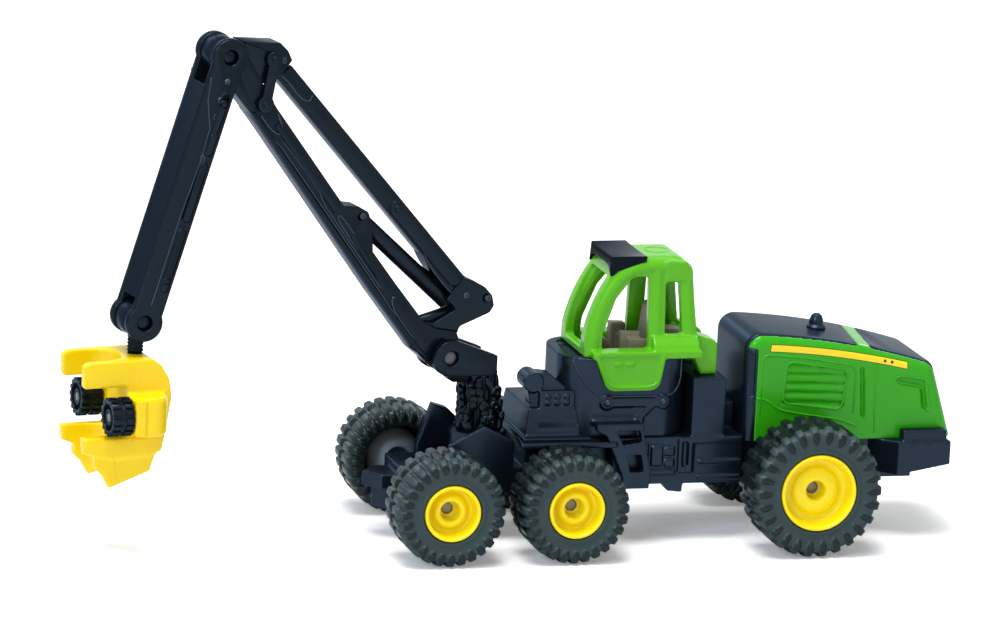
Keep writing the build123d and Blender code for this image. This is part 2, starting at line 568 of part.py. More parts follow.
def louvre(side):
    """Slatted panel on the hood's flank: a sunk field with slats whose lower edges stand out."""
    x0, x1 = HOOD_FRONT_X + 5.2, HOOD_FRONT_X + 14.2
    z0, z1 = HOOD_BOTTOM + 4.4, HOOD_BOTTOM + 10.6
    y0, y1 = outward(side, HOOD_HALF - 0.3, HOOD_HALF + 1)
    field = plate([(x0, z0 + 0.6), (x0 + 0.6, z1), (x1, z1 - 0.7), (x1 - 0.3, z0)], y0, y1)
    slats = []
    for index in range(4):
        z = z0 + 1.0 + index * (z1 - z0 - 1.2) / 4
        y0, y1 = outward(side, HOOD_HALF - 0.6, HOOD_HALF - 0.05)
        slats.append(plate([(x0, z + 0.2), (x1, z - 0.1), (x1, z + 0.6), (x0, z + 0.9)], y0, y1))
    return field, slats


def hood_parts():
    """Green hood with its cross band and flank reliefs, and the dark lid let into its top and front."""
    body = hood_rounded()
    region = block(HOOD_FRONT_X - 1, HOOD_REAR_X - 3.0, -LID_HALF, LID_HALF, 20.0, HOOD_TOP + 1)
    lid = (body & region) - hood_block(LID_T)
    column = block(HOOD_FRONT_X - 1, HOOD_FRONT_X + COLUMN_DEPTH, -12, 12, HOOD_BOTTOM - 1, COLUMN_TOP)
    front = block(HOOD_FRONT_X - 1, HOOD_FRONT_X + COLUMN_DEPTH, -LID_HALF, LID_HALF, HOOD_BOTTOM - 1, HOOD_TOP + 1)
    lid += body & (column + front)
    reach = HOOD_HALF + 2
    slant = BAND_SLANT * reach
    band = slab([(BAND_X - slant, -reach), (BAND_X + BAND_WIDTH - slant, -reach),
                 (BAND_X + BAND_WIDTH + slant, reach), (BAND_X + slant, reach)], 20, HOOD_TOP + 2)
    lid -= band
    green = body - lid
    for side in (-1, 1):
        y0, y1 = outward(side, HOOD_HALF - 0.4, HOOD_HALF + 1)
        lid -= block(HOOD_FRONT_X + 0.5, HOOD_FRONT_X + 1.2, y0, y1, HOOD_BOTTOM + 6.2, COLUMN_TOP - 0.6)
        field, slats = louvre(side)
        green -= field
        for slat in slats:
            green += slat & field
        y0, y1 = outward(side, HOOD_HALF - 0.3, HOOD_HALF + 1)
        green -= plate([(HOOD_REAR_X - 13.6, 23.6), (HOOD_REAR_X - 13.0, 23.5), (HOOD_REAR_X - 12.6, 16.5),
                        (HOOD_REAR_X - 13.2, 16.6)], y0, y1)
        green -= plate([(HOOD_REAR_X - 8.4, 22.3), (HOOD_REAR_X - 4.4, 21.6), (HOOD_REAR_X - 3.7, 17.4),
                        (HOOD_REAR_X - 4.6, 17.5), (HOOD_REAR_X - 5.0, 20.6), (HOOD_REAR_X - 8.2, 21.2)], y0, y1)
    return green, lid


def beacon(body):
    """Round lamp on the hood's lid: a flange, a waist and a domed cap, sunk onto the lid."""
    foot = HOOD_TOP - 2.4
    seat = HOOD_TOP - 1.05
    cap = seat + BEACON_HEIGHT
    outline = [(0, foot), (BEACON_R, foot), (BEACON_R, seat + 0.25), (0.75 * BEACON_R, seat + 0.5),
               (0.72 * BEACON_R, cap - 0.9), (0.55 * BEACON_R, cap - 0.3), (0.25 * BEACON_R, cap), (0, cap)]
    knob = revolve(make_face(Polyline(*[(r, 0, z) for r, z in outline], close=True)), Axis.Z)
    return Pos(BEACON_X, 0, 0) * knob - body


# Crane: each piece is drawn with the crane straight ahead, and the whole crane is then slewed

def ahead(point):
    """Place of a (forward, up) point of the crane's plane before it is slewed."""
    return PILLAR_X - point[0], point[1]


def link_plate(points, half, low=None):
    """Plate in the crane's plane from (forward, up) points, centred on it or from low to half."""
    return plate([ahead(point) for point in points], -half if low is None else low, half)


def eye(point, radius, half):
    """Round eye in the crane's plane."""
    return rod_y(*ahead(point), radius, -half, half)


def along(start, end, distance, offset):
    """Point at a distance from start towards end, and offset to the left of that line."""
    run = hypot(end[0] - start[0], end[1] - start[1])
    ux = (end[0] - start[0]) / run
    uz = (end[1] - start[1]) / run
    return start[0] + ux * distance - uz * offset, start[1] + uz * distance + ux * offset


def on_plane(point, lateral=0):
    """Point beside the crane's plane in space before the crane is slewed."""
    x, z = ahead(point)
    return x, lateral, z


def crane_pillar():
    """Turning pillar with hoses in relief, and the fork that holds the boom's foot."""
    spigot_r = PILLAR_R * 0.7
    body = Pos(PILLAR_X, 0, (FRAME_TOP + 1 + DECK_TOP) / 2) * Cylinder(spigot_r, DECK_TOP - FRAME_TOP - 1)
    body += Pos(PILLAR_X, 0, (DECK_TOP + SIDE_GAP + PILLAR_TOP) / 2) * Cylinder(
        PILLAR_R, PILLAR_TOP - DECK_TOP - SIDE_GAP)
    body += Pos(PILLAR_X, 0, DECK_TOP) * Cylinder(spigot_r, 1)
    low = DECK_TOP + 2 * SIDE_GAP
    for turn, radius, top in ((20, 0.7, 18.6), (65, 0.55, 21.6), (115, 0.6, PILLAR_TOP), (160, 0.5, 20.4),
                              (200, 0.6, 18.0), (245, 0.55, 21.4), (290, 0.6, PILLAR_TOP), (335, 0.65, 19.2)):
        x = PILLAR_X + PILLAR_R * cos(turn * pi / 180)
        y = PILLAR_R * sin(turn * pi / 180)
        body += Pos(x, y, (low + top) / 2) * Cylinder(radius, top - low)
    body += link_plate([(0, 20.9), (4.4, 21.2), (5.2, 22.0), (5.2, PILLAR_TOP), (0, PILLAR_TOP)], 1.3)
    fork = link_plate([(LUFF_PIN[0], PILLAR_TOP), (-1.05, PILLAR_TOP), (-1.05, 25.0),
                       (4.6, 27.2), (LUFF_PIN[0], 27.35)], FORK_HALF)
    fork += eye(LUFF_PIN, EYE_R, FORK_HALF)
    slot = link_plate([(LUFF_PIN[0] + 6, PILLAR_TOP), (2.2, PILLAR_TOP), (0.4, 24.0), (-3, 25.0),
                       (-3, 31), (LUFF_PIN[0] + 6, 31)], FORK_SLOT / 2)
    body += fork - slot
    return body - eye(LUFF_PIN, PIN_R, FORK_HALF + 1)


def main_point(share, offset):
    """Point at a share of the way from the foot pin to the elbow pin, offset towards the upper beam."""
    run = hypot(ELBOW_PIN[0] - LUFF_PIN[0], ELBOW_PIN[1] - LUFF_PIN[1])
    return along(LUFF_PIN, ELBOW_PIN, share * run, offset)


def main_outline(rows):
    """Outline from rows of (share of the way from pin to pin, offset towards the upper beam)."""
    return [main_point(share, offset) for share, offset in rows]


def boom_main():
    """Lower beam of the boom from its foot eye to the elbow eye, with the ram bracket on its back."""
    body = link_plate(main_outline([
        (-0.015, 2.16), (0.004, -2.37), (0.067, -3.05), (0.263, -2.98), (0.804, -1.99), (0.907, -1.99),
        (0.996, -2.32), (0.997, 2.3), (0.877, 1.61), (0.811, 1.24), (0.496, 0.77), (0.464, 2.39), (0.44, 2.9),
        (0.409, 2.38), (0.35, 0.26), (0.245, 0.19), (0.112, 0.23), (0.079, 1.0), (0.035, 2.99)]), LUG_HALF)
    body += link_plate(main_outline([
        (0.02, -2.1), (0.067, -3.05), (0.263, -2.98), (0.804, -1.99), (0.85, -1.99), (0.84, -1.5), (0.8, -1.5),
        (0.263, -2.4), (0.08, -2.45)]), LUG_HALF + RELIEF)
    for side in (-1, 1):
        y0, y1 = outward(side, LUG_HALF, LUG_HALF + RELIEF)
        body += link_plate(main_outline([(0.29, -1.5), (0.42, -1.1), (0.42, -0.2), (0.36, -0.5)]), y1, y0)
        body += link_plate(main_outline([(0.5, -0.9), (0.78, -0.5), (0.78, 0.3), (0.5, 0.3)]), y1, y0)
    body += eye(LUFF_PIN, EYE_R - SIDE_GAP, LUG_HALF) + eye(ELBOW_PIN, EYE_R - SIDE_GAP, LUG_HALF)
    body -= eye(main_point(0.443, 1.75), HEX_R, LUG_HALF + 1)
    for pin in (LUFF_PIN, ELBOW_PIN):
        body -= eye(pin, EYE_R + 0.3, FORK_HALF) - eye(pin, EYE_R + 0.3, LUG_HALF)
        body -= eye(pin, PIN_R + RUN_GAP, LUG_HALF + 1)
    return body


def boom_top(main):
    """Head plate beside the elbow and the slim upper beam down to the rear bracket's pin."""
    upper = main_outline([(0.870, 6.145), (0.131, 8.3)])
    run = hypot(upper[1][0] - upper[0][0], upper[1][1] - upper[0][1])
    low_start = along(upper[0], upper[1], 0, TOP_BEAM_DEPTH)
    low_end = along(upper[0], upper[1], run, TOP_BEAM_DEPTH)
    body = link_plate([upper[0], upper[1], low_end, low_start], TOP_BEAM_HALF)
    body += link_plate(main_outline([(1.002, 2.76), (0.935, 6.7), (0.905, 6.9), (0.88, 6.6), (0.866, 3.68),
                                     (0.904, -0.83)]), LUG_HALF)
    cover = [along(upper[1], upper[0], run * share, -TOP_BEAM_DEPTH / 2) for share in (0.03, 0.36)]
    body += bar(ahead(cover[0]), ahead(cover[1]), 1.07, -TOP_BEAM_HALF - RELIEF, TOP_BEAM_HALF + RELIEF)
    body += eye(cover[1], HEX_R, TOP_BEAM_HALF + 2 * RELIEF)
    body += eye(main_point(0.125, 6.77), 1.35, TOP_BEAM_HALF)
    return body - main - eye(ELBOW_PIN, EYE_R + 0.3, FORK_HALF)


def boom_bracket(main, top):
    """Rear bracket above the foot, which carries the upper beam's lower end."""
    body = link_plate(main_outline([
        (0.031, 1.3), (0.024, 2.55), (0.04, 3.74), (0.019, 7.29), (0.014, 8.2), (0.022, 9.2), (0.045, 9.8),
        (0.075, 9.7), (0.11, 8.93), (0.137, 8.05), (0.119, 4.46), (0.082, 4.69), (0.093, 1.35), (0.112, 0.23),
        (0.079, -0.27)]), LUG_HALF)
    body -= eye(main_point(0.052, 8.93), HEX_R, LUG_HALF + 1)
    return body - main - top


def boom_rams(main, top, bracket):
    """Two rams of the boom moulding: the long one to the back bracket and the short one at its foot."""
    rams = None
    for start, end, radius in (((0.425, 1.7), (0.105, 4.6), 1.15), ((0.26, 3.6), (0.11, 6.0), 0.5),
                               ((0.115, -1.2), (0.07, 4.3), 1.0)):
        ram = rod_between(on_plane(main_point(*start)), on_plane(main_point(*end)), radius)
        rams = ram if rams is None else rams + ram
    return rams - main - top - bracket


def boom_links(main, top):
    """Pair of short links on the boom's flanks below the elbow, with a bolt at each end."""
    start, end = main_point(0.916, 4.65), main_point(0.841, 0.2)
    outer = LUG_HALF + 0.8
    body = bar(ahead(start), ahead(end), 0.7, -outer, outer)
    for point in (start, end):
        body += eye(point, 1.1, outer)
        body += eye(point, HEX_R, outer + RELIEF)
    return body - link_plate([(20, 50), (45, 50), (45, 75), (20, 75)], LUG_HALF) - main - top


def slot_points(first, second, back, front):
    """Four corners of a slot about a fork's pin: its two ends at unlike depths along the bar."""
    wide = EYE_R + 1
    return [along(first, second, -wide, wide), along(first, second, back, wide),
            along(first, second, front, -wide), along(first, second, -wide, -wide)]


def stick():
    """Outer boom: square bar with a fork at both ends, round eyes, pin holes and reliefs on its flanks."""
    run = hypot(TIP_PIN[0] - ELBOW_PIN[0], TIP_PIN[1] - ELBOW_PIN[1])
    half = STICK_DEPTH / 2
    sides = [along(ELBOW_PIN, TIP_PIN, 0, half), along(ELBOW_PIN, TIP_PIN, run, half),
             along(ELBOW_PIN, TIP_PIN, run, -half), along(ELBOW_PIN, TIP_PIN, 0, -half)]
    body = link_plate(sides, FORK_HALF)
    for pin in (ELBOW_PIN, TIP_PIN):
        body += eye(pin, EYE_R, FORK_HALF)
    for low, high, offset in ((5.0, 12.5, 0.9), (14.5, 21.5, 0.9), (23.5, 31.0, 0.9)):
        rail = [ahead(along(ELBOW_PIN, TIP_PIN, distance, -offset)) for distance in (low, high)]
        body += bar(*rail, 0.55, -FORK_HALF - 0.25, FORK_HALF + 0.25)
    for distance in (6.0, 30.0):
        body += eye(along(ELBOW_PIN, TIP_PIN, distance, -0.9), HEX_R, FORK_HALF + 0.45)
    body -= link_plate(slot_points(ELBOW_PIN, TIP_PIN, STICK_SLOT_FRONT, STICK_SLOT), FORK_SLOT / 2)
    body -= link_plate(slot_points(TIP_PIN, ELBOW_PIN, STICK_SLOT_LOW, STICK_SLOT_LOW), FORK_SLOT / 2)
    for pin in (ELBOW_PIN, TIP_PIN):
        body -= eye(pin, PIN_R, FORK_HALF + 1)
    return body


def cross_pin(pin):
    """Round pin through a fork, sunk a little below its outer faces."""
    return eye(pin, PIN_R, FORK_HALF - PIN_SUNK)


def rotator():
    """Swinging knuckle between the stick's lower cheeks, with the ribbed stem that the head turns on."""
    x, z = ahead(TIP_PIN)
    body = eye(TIP_PIN, EYE_R - SIDE_GAP, LUG_HALF)
    stem_low = HEAD_TOP - 3.0
    body += Pos(x, 0, (stem_low + z) / 2) * Cylinder(STEM_R, z - stem_low)
    rib_z = HEAD_TOP + 0.35
    while rib_z < z - 1.5:
        body += Pos(x, 0, rib_z) * Cylinder(STEM_R + STEM_RIB, 0.22)
        rib_z += 0.45
    return body - eye(TIP_PIN, PIN_R + RUN_GAP, LUG_HALF + 1)


def head_frame():
    """Harvester head: round-backed spine with an upper and a lower pair of arms about the grip."""
    body = link_plate([(HEAD_FRONT, 26.9), (57.3, 27.35), (53.0, HEAD_TOP), (48.3, HEAD_TOP), (47.1, 26.6),
                       (46.0, 24.8), (HEAD_BACK, 22.5), (46.0, 19.6), (46.8, 15.2), (47.6, 14.9), (48.4, 12.6),
                       (53.9, 10.6), (54.9, 12.4), (56.0, 13.4), (56.0, 14.8), (57.6, 15.4),
                       (HEAD_FRONT, ARM_LOW_TOP), (ROLLER_BACK, ARM_LOW_TOP), (ROLLER_BACK, ARM_HIGH_BOTTOM),
                       (57.6, ARM_HIGH_BOTTOM), (HEAD_FRONT, ARM_HIGH_BOTTOM + 0.4)], HEAD_HALF)
    log_x = PILLAR_X - LOG_AXIS
    roller_y = GRIP_R + ROLLER_R
    for side in (-1, 1):
        wedge = [(PILLAR_X - ROLLER_BACK, side * (HEAD_HALF - 0.1)), (PILLAR_X - ROLLER_BACK, side * (roller_y + 2.2)),
                 (PILLAR_X - ROLLER_BACK + 1.4, side * (roller_y + 2.2)), (PILLAR_X - 47.0, side * (HEAD_HALF - 0.1))]
        body += slab(wedge, ROLLER_Z - 2.4, ROLLER_Z + 2.4)
    body -= Pos(log_x, 0, 20) * Cylinder(GRIP_R, 30)
    body -= Pos(log_x, 0, (ARM_LOW_TOP + ARM_HIGH_BOTTOM) / 2) * Cylinder(
        GRIP_R + GRIP_RELIEF, ARM_HIGH_BOTTOM - ARM_LOW_TOP)
    body -= block(log_x - 6, log_x, -GRIP_R, GRIP_R, 5, 35)
    for side in (-1, 1):
        y = side * roller_y
        body -= rod_between((PILLAR_X - ROLLER_BACK + 2.0, y, ROLLER_Z),
                            (PILLAR_X - ROLLER_BACK - 3, y, ROLLER_Z), ROLLER_PIN_R)
        y0, y1 = outward(side, HEAD_HALF - 0.2, HEAD_HALF + 1)
        body -= block(PILLAR_X - 50.4, PILLAR_X - 47.6, y0, y1, 24.6, 26.4)
        body -= rod_y(PILLAR_X - 50.2, 16.4, 0.4, y0, y1)
    x, z = ahead(TIP_PIN)
    return body - Pos(x, 0, HEAD_TOP) * Cylinder(STEM_R + RUN_GAP, 2 * 3.2)


def roller(side):
    """Feed roller beside the grip: two rows of ribs round its rim and a sunk face with a boss."""
    y = side * (GRIP_R + ROLLER_R)
    back = PILLAR_X - ROLLER_BACK - SIDE_GAP
    front = back - ROLLER_LENGTH
    body = rod_between((back, y, ROLLER_Z), (front, y, ROLLER_Z), ROLLER_R - ROLLER_RIB)
    row = (ROLLER_LENGTH - 0.5) / 2
    for index in range(ROLLER_RIBS):
        turn = 2 * pi * index / ROLLER_RIBS
        rib = Rot(turn * 180 / pi, 0, 0) * Pos(0, 0, ROLLER_R - ROLLER_RIB / 2 - 0.1) * Box(row, 0.5, ROLLER_RIB + 0.2)
        for x in (back - row / 2, front + row / 2):
            body += Pos(x, y, ROLLER_Z) * rib
    body -= rod_between((front + 0.5, y, ROLLER_Z), (front - 1, y, ROLLER_Z), ROLLER_R - 0.8)
    body += rod_between((back, y, ROLLER_Z), (front + 0.1, y, ROLLER_Z), 1.1)
    return body - rod_between((back + 1, y, ROLLER_Z), (front - 1, y, ROLLER_Z), ROLLER_PIN_R + RUN_GAP)


def roller_pins():
    """Two pins pressed into the head, one for each feed roller."""
    pins = []
    for side in (-1, 1):
        y = side * (GRIP_R + ROLLER_R)
        pins.append(rod_between((PILLAR_X - ROLLER_BACK + 2.0, y, ROLLER_Z),
                                (PILLAR_X - ROLLER_BACK - ROLLER_LENGTH - SIDE_GAP + 0.1, y, ROLLER_Z), ROLLER_PIN_R))
    return pins[0] + pins[1]


# Assembly: each body's nodes, with the crane slewed about its pillar

def carrier_nodes():
    """Nodes that stand still with the carrier."""
    green, lid = hood_parts()
    base = cab_base()
    frame = front_frame()
    carrier = rear_carrier() - base
    walkway = deck() - frame
    nodes = {
        "front_frame": frame, "deck": walkway, "tool_box": tool_box() - base,
        "cab_base": base, "cab": cab() - base, "cab_interior": cab_interior(), "roof_visor": roof_visor(),
        "rear_carrier": carrier,
    }
    for label, side in (("near", -1), ("far", 1)):
        nodes[f"step_{label}"] = step_ladder(side) - base - walkway - carrier
    nodes.update({"hood": green, "hood_lid": lid, "beacon": beacon(hood_rounded()), "bumper": bumper()})
    return nodes


WHEELS = [("front", 0.0, FRONT_TYRE_R, FRONT_TYRE_W, FRONT_RIM_R, FRONT_LUGS),
          ("mid", MID_X, FRONT_TYRE_R, FRONT_TYRE_W, FRONT_RIM_R, FRONT_LUGS),
          ("rear", REAR_X, REAR_TYRE_R, REAR_TYRE_W, REAR_RIM_R, REAR_LUGS)]


def wheel_nodes(name, x, radius, width, rim_r, lugs):
    """Axle with a hub and a tyre at each end."""
    nodes = {f"axle_{name}": axle(x, radius)}
    for label, side in (("near", -1), ("far", 1)):
        nodes[f"tyre_{name}_{label}"] = tyre(x, radius, width, rim_r, lugs, side)
        nodes[f"hub_{name}_{label}"] = hub(x, radius, width, rim_r, side)
    return nodes


def slewed(shape):
    """Turn a crane piece about the pillar's axis to the angle it stands at."""
    return Pos(PILLAR_X, 0, 0) * Rot(0, 0, CRANE_SLEW) * Pos(-PILLAR_X, 0, 0) * shape


def crane_bodies():
    """Crane nodes by body, slewed."""
    main = boom_main()
    top = boom_top(main)
    bracket = boom_bracket(main, top)
    bodies = {
        "crane_base": {"crane_pillar": crane_pillar(), "luff_pin": cross_pin(LUFF_PIN)},
        "boom": {"boom_main": main, "boom_top": top, "boom_bracket": bracket,
                 "boom_rams": boom_rams(main, top, bracket), "boom_links": boom_links(main, top)},
        "stick": {"stick": stick(), "elbow_pin": cross_pin(ELBOW_PIN), "tip_pin": cross_pin(TIP_PIN)},
        "rotator": {"rotator": rotator()},
        "head": {"head_frame": head_frame(), "roller_pins": roller_pins()},
        "roller_near": {"feed_roller_near": roller(-1)},
        "roller_far": {"feed_roller_far": roller(1)},
    }
    return {body: {name: slewed(shape) for name, shape in nodes.items()} for body, nodes in bodies.items()}


BODIES = {"root": carrier_nodes()}
for row in WHEELS:
    BODIES[f"axle_{row[0]}"] = wheel_nodes(*row)
BODIES.update(crane_bodies())

boxes = [shape.bounding_box() for nodes in BODIES.values() for shape in nodes.values()]
ORIGIN_X = (min(box.min.X for box in boxes) + max(box.max.X for box in boxes)) / 2

os.makedirs("parts", exist_ok=True)
for nodes in BODIES.values():
    for name, shape in nodes.items():
        export_step(Pos(-ORIGIN_X, 0, 0) * shape, f"parts/{name}.step")
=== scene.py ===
import json
import bmesh
import bpy
import numpy as np
from mathutils import Matrix, Vector


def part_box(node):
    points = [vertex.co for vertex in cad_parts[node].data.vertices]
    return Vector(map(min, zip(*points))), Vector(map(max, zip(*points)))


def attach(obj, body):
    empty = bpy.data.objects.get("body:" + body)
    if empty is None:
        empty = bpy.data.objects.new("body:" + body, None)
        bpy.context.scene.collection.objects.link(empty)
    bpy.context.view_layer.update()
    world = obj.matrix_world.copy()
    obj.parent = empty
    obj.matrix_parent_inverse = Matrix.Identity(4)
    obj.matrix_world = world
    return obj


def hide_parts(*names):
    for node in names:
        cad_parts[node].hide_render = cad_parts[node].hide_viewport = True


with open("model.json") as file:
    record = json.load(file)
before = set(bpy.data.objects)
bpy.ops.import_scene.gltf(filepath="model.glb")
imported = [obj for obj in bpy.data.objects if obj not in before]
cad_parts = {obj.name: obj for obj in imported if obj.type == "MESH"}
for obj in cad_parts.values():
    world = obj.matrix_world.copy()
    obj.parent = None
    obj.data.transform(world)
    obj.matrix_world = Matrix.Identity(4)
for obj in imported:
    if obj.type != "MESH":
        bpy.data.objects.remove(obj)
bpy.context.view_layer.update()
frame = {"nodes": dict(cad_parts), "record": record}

# The studio: a plain pale floor under a white room. The camera stands in front of the near side,
# turned a little towards the hood's end, and looks down on the toy through a long lens.
MM = 0.001
FRONT_AXLE_X, MID_AXLE_X, REAR_AXLE_X = 0.0, 16.9, 50.2
axle_low, axle_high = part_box("axle_rear")
ORIGIN_X = REAR_AXLE_X - (axle_low[0] + axle_high[0]) / 2 / MM
AIM_X, AIM_Z = 10.158, 30.28
AIM = ((AIM_X - ORIGIN_X) * MM, 0.0, AIM_Z * MM)
DISTANCE = 820.7 * MM
TURN, DIP, LEAN = np.radians([15.755, 12.709, 2.601])
FOCAL_PIXELS, PICTURE_WIDTH, SENSOR = 6173.0, 1000.0, 36.0

eye = bpy.data.cameras.new("camera")
eye.sensor_width = SENSOR
eye.lens = FOCAL_PIXELS / PICTURE_WIDTH * SENSOR
eye.clip_start, eye.clip_end = 0.05, 20
camera = bpy.data.objects.new("camera", eye)
look = Matrix.Rotation(-TURN, 4, "Z") @ Matrix.Rotation(np.pi / 2 - DIP, 4, "X")
look = look @ Matrix.Rotation(LEAN, 4, "Z")
camera.matrix_world = Matrix.Translation(Vector(AIM) + look @ Vector((0, 0, DISTANCE))) @ look
bpy.context.scene.collection.objects.link(camera)
bpy.context.scene.camera = camera
bpy.context.scene.view_settings.view_transform = "Standard"


class Wire:
    """One output of a material's nodes. Python's operators on it add the Math nodes they need: & is
    the smaller of two values and | the larger, so they join masks and distances."""

    def __init__(self, tree, output=None):
        self.tree = tree
        self.output = output

    def node(self, kind, settings=None, inputs=None, output=0):
        """Adds a node: its settings first, then values or wires on its sockets; gives one output."""
        made = self.tree.nodes.new("ShaderNode" + kind)
        for name, value in (settings or {}).items():
            setattr(made, name, value)
        for name, value in (inputs or {}).items():
            if isinstance(value, Wire):
                self.tree.links.new(value.output, made.inputs[name])
            else:
                made.inputs[name].default_value = value
        return Wire(self.tree, made.outputs[output]) if made.outputs else None

    def maths(self, operation, *terms):
        """Adds a Math node that works on the terms."""
        return self.node("Math", {"operation": operation}, dict(enumerate(terms)))

    def blend(self, first, second):
        """Colour between two colours, by this wire's value."""
        return self.node("Mix", {"data_type": "RGBA"}, {0: self, 6: first, 7: second}, 2)

    def __add__(self, other):
        return self.maths("ADD", self, other)

    def __sub__(self, other):
        return self.maths("SUBTRACT", self, other)

    def __rsub__(self, other):
        return self.maths("SUBTRACT", other, self)

    def __mul__(self, other):
        return self.maths("MULTIPLY", self, other)

    def __and__(self, other):
        return self.maths("MINIMUM", self, other)

    def __or__(self, other):
        return self.maths("MAXIMUM", self, other)

    def __gt__(self, other):
        return self.maths("GREATER_THAN", self, other)

    def __lt__(self, other):
        return self.maths("LESS_THAN", self, other)

    def __abs__(self):
        return self.maths("ABSOLUTE", self)

    __radd__ = __add__
    __rmul__ = __mul__


def blank_material(name):
    """New material with an empty node tree, as a wire with no output yet."""
    made = bpy.data.materials.new(name)
    made.use_nodes = True
    made.node_tree.nodes.clear()
    return made, Wire(made.node_tree)


FLOOR_HALF = 3.0
FLOOR_GREY, FLOOR_GLOW = (0.9, 0.9, 0.9, 1), 0.22
WHITE, BLACK = (1, 1, 1, 1), (0, 0, 0, 1)

floor_paper, paper = blank_material("floor_paper")
seen = paper.node("LightPath", output="Is Camera Ray")
surface = paper.node("BsdfPrincipled", None, {
    "Base Color": FLOOR_GREY, "Roughness": 0.9, "Specular IOR Level": 0.1,
    "Emission Color": seen.blend(BLACK, WHITE), "Emission Strength": FLOOR_GLOW})
paper.node("OutputMaterial", None, {"Surface": surface})
floor_mesh = bpy.data.meshes.new("floor")
corners = [(-FLOOR_HALF, -FLOOR_HALF, 0), (FLOOR_HALF, -FLOOR_HALF, 0),
           (FLOOR_HALF, FLOOR_HALF, 0), (-FLOOR_HALF, FLOOR_HALF, 0)]
floor_mesh.from_pydata(corners, [], [(0, 1, 2, 3)])
floor_mesh.materials.append(floor_paper)
floor = bpy.data.objects.new("floor", floor_mesh)
bpy.context.scene.collection.objects.link(floor)

ROOM_LIGHT = 0.45
room = bpy.data.worlds.new("room")
bpy.context.scene.world = room
room.use_nodes = True
room.node_tree.nodes.clear()
air = Wire(room.node_tree)
direct = air.node("LightPath", output="Is Camera Ray")
mirrored = air.node("LightPath", output="Is Glossy Ray")
through = air.node("LightPath", output="Is Transmission Ray")
glow = air.node("Background", None, {
    "Color": WHITE, "Strength": ROOM_LIGHT + (1 - ROOM_LIGHT) * (direct | mirrored | through)})
air.node("OutputWorld", None, {"Surface": glow})

# Soft boxes: (name, place, width, height, watts, colour)
SOFT_BOXES = [("sky", (-0.1, -0.1, 0.62), 0.32, 0.32, 4.2, (1, 1, 1)),
              ("front_left", (-0.5, -0.55, 0.45), 0.22, 0.22, 2.2, (0.7, 0.82, 1)),
              ("back_right", (0.45, 0.5, 0.5), 0.25, 0.2, 1.3, (1, 1, 1)),
              ("back_left", (-0.2, 0.62, 0.26), 0.3, 0.1, 0.35, (0.75, 0.87, 1))]
for name, place, width, height, watts, tint in SOFT_BOXES:
    lamp = bpy.data.lights.new(name, "AREA")
    lamp.shape = "RECTANGLE"
    lamp.size, lamp.size_y, lamp.energy, lamp.color = width, height, watts, tint
    box = bpy.data.objects.new(name, lamp)
    box.location = place
    box.rotation_euler = (Vector(AIM) - Vector(place)).to_track_quat("-Z", "Y").to_euler()
    bpy.context.scene.collection.objects.link(box)


# Carrier castings: front frame, deck, tool box, round tub, rear frame, steps and bumper are die-cast
# metal with blunt edges under satin blue-black enamel. They are cast or riveted together.
BODY_OF = {node: body for body, nodes in frame["record"]["behaviour"]["bodies"].items() for node in nodes}
# Noise scales are per metre, the grain's depth and the merging gap are in millimetres.
CLOUD_SCALE, GRAIN_SCALE, GRAIN_DEPTH = 130.0, 3600.0, 0.05
ROUGH_DRIFT = 0.12
MERGE_GAP = 0.001
CUT_ANGLE = 32


def moulded(name, dark, light, roughness, gloss=0.5, grain=0.05, tint=WHITE, metal=0.0, paint=None):
    """Moulded or enamelled surface: two near colours mixed by a cloudy noise, a fine grain in the
    bump, and a roughness that drifts with the cloud. Paint may change colour and roughness by place."""
    made, base = blank_material(name)
    place = base.node("TexCoord", output="Object")
    cloud = base.node("TexNoise", None, {"Vector": place, "Scale": CLOUD_SCALE, "Detail": 3.0})
    fine = base.node("TexNoise", None, {"Vector": place, "Scale": GRAIN_SCALE, "Detail": 2.0})
    colour = cloud.blend(dark, light)
    rough = roughness - ROUGH_DRIFT / 2 + ROUGH_DRIFT * cloud
    if paint:
        x, y, z = [base.node("SeparateXYZ", None, {"Vector": place}, axis) * (1 / MM) for axis in range(3)]
        colour, rough = paint(x + ORIGIN_X, y, z, colour, rough)
    bump = base.node("Bump", None, {"Strength": grain, "Distance": GRAIN_DEPTH * MM, "Height": fine})
    surface = base.node("BsdfPrincipled", None, {
        "Base Color": colour, "Roughness": rough, "Normal": bump, "Specular IOR Level": gloss,
        "Specular Tint": tint, "Metallic": metal})
    base.node("OutputMaterial", None, {"Surface": surface})
    return made


def dressed(node, material, flat=1.0, extra=(), copied=True):
    """Piece that takes a CAD node's place: a copy with its doubles merged, and neighbours that turn
    less than the flat angle joined into one face. Extra surfaces, in millimetres, are added to it."""
    work = bmesh.new()
    if copied:
        work.from_mesh(frame["nodes"][node].data)
    for points, quads in extra:
        corners = [work.verts.new(point) for point in (points - (ORIGIN_X, 0, 0)) * MM]
        for quad in quads:
            work.faces.new([corners[i] for i in quad])
    bmesh.ops.remove_doubles(work, verts=work.verts, dist=MERGE_GAP * MM)
    if flat:
        bmesh.ops.dissolve_limit(work, angle_limit=np.radians(flat), verts=work.verts, edges=work.edges)
    mesh = bpy.data.meshes.new(f"{node}_rounded")
    work.to_mesh(mesh)
    work.free()
    mesh.shade_smooth()
    mesh.materials.append(material)
    piece = bpy.data.objects.new(f"{node}_rounded", mesh)
    bpy.context.scene.collection.objects.link(piece)
    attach(piece, BODY_OF[node])
    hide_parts(node)
    return piece


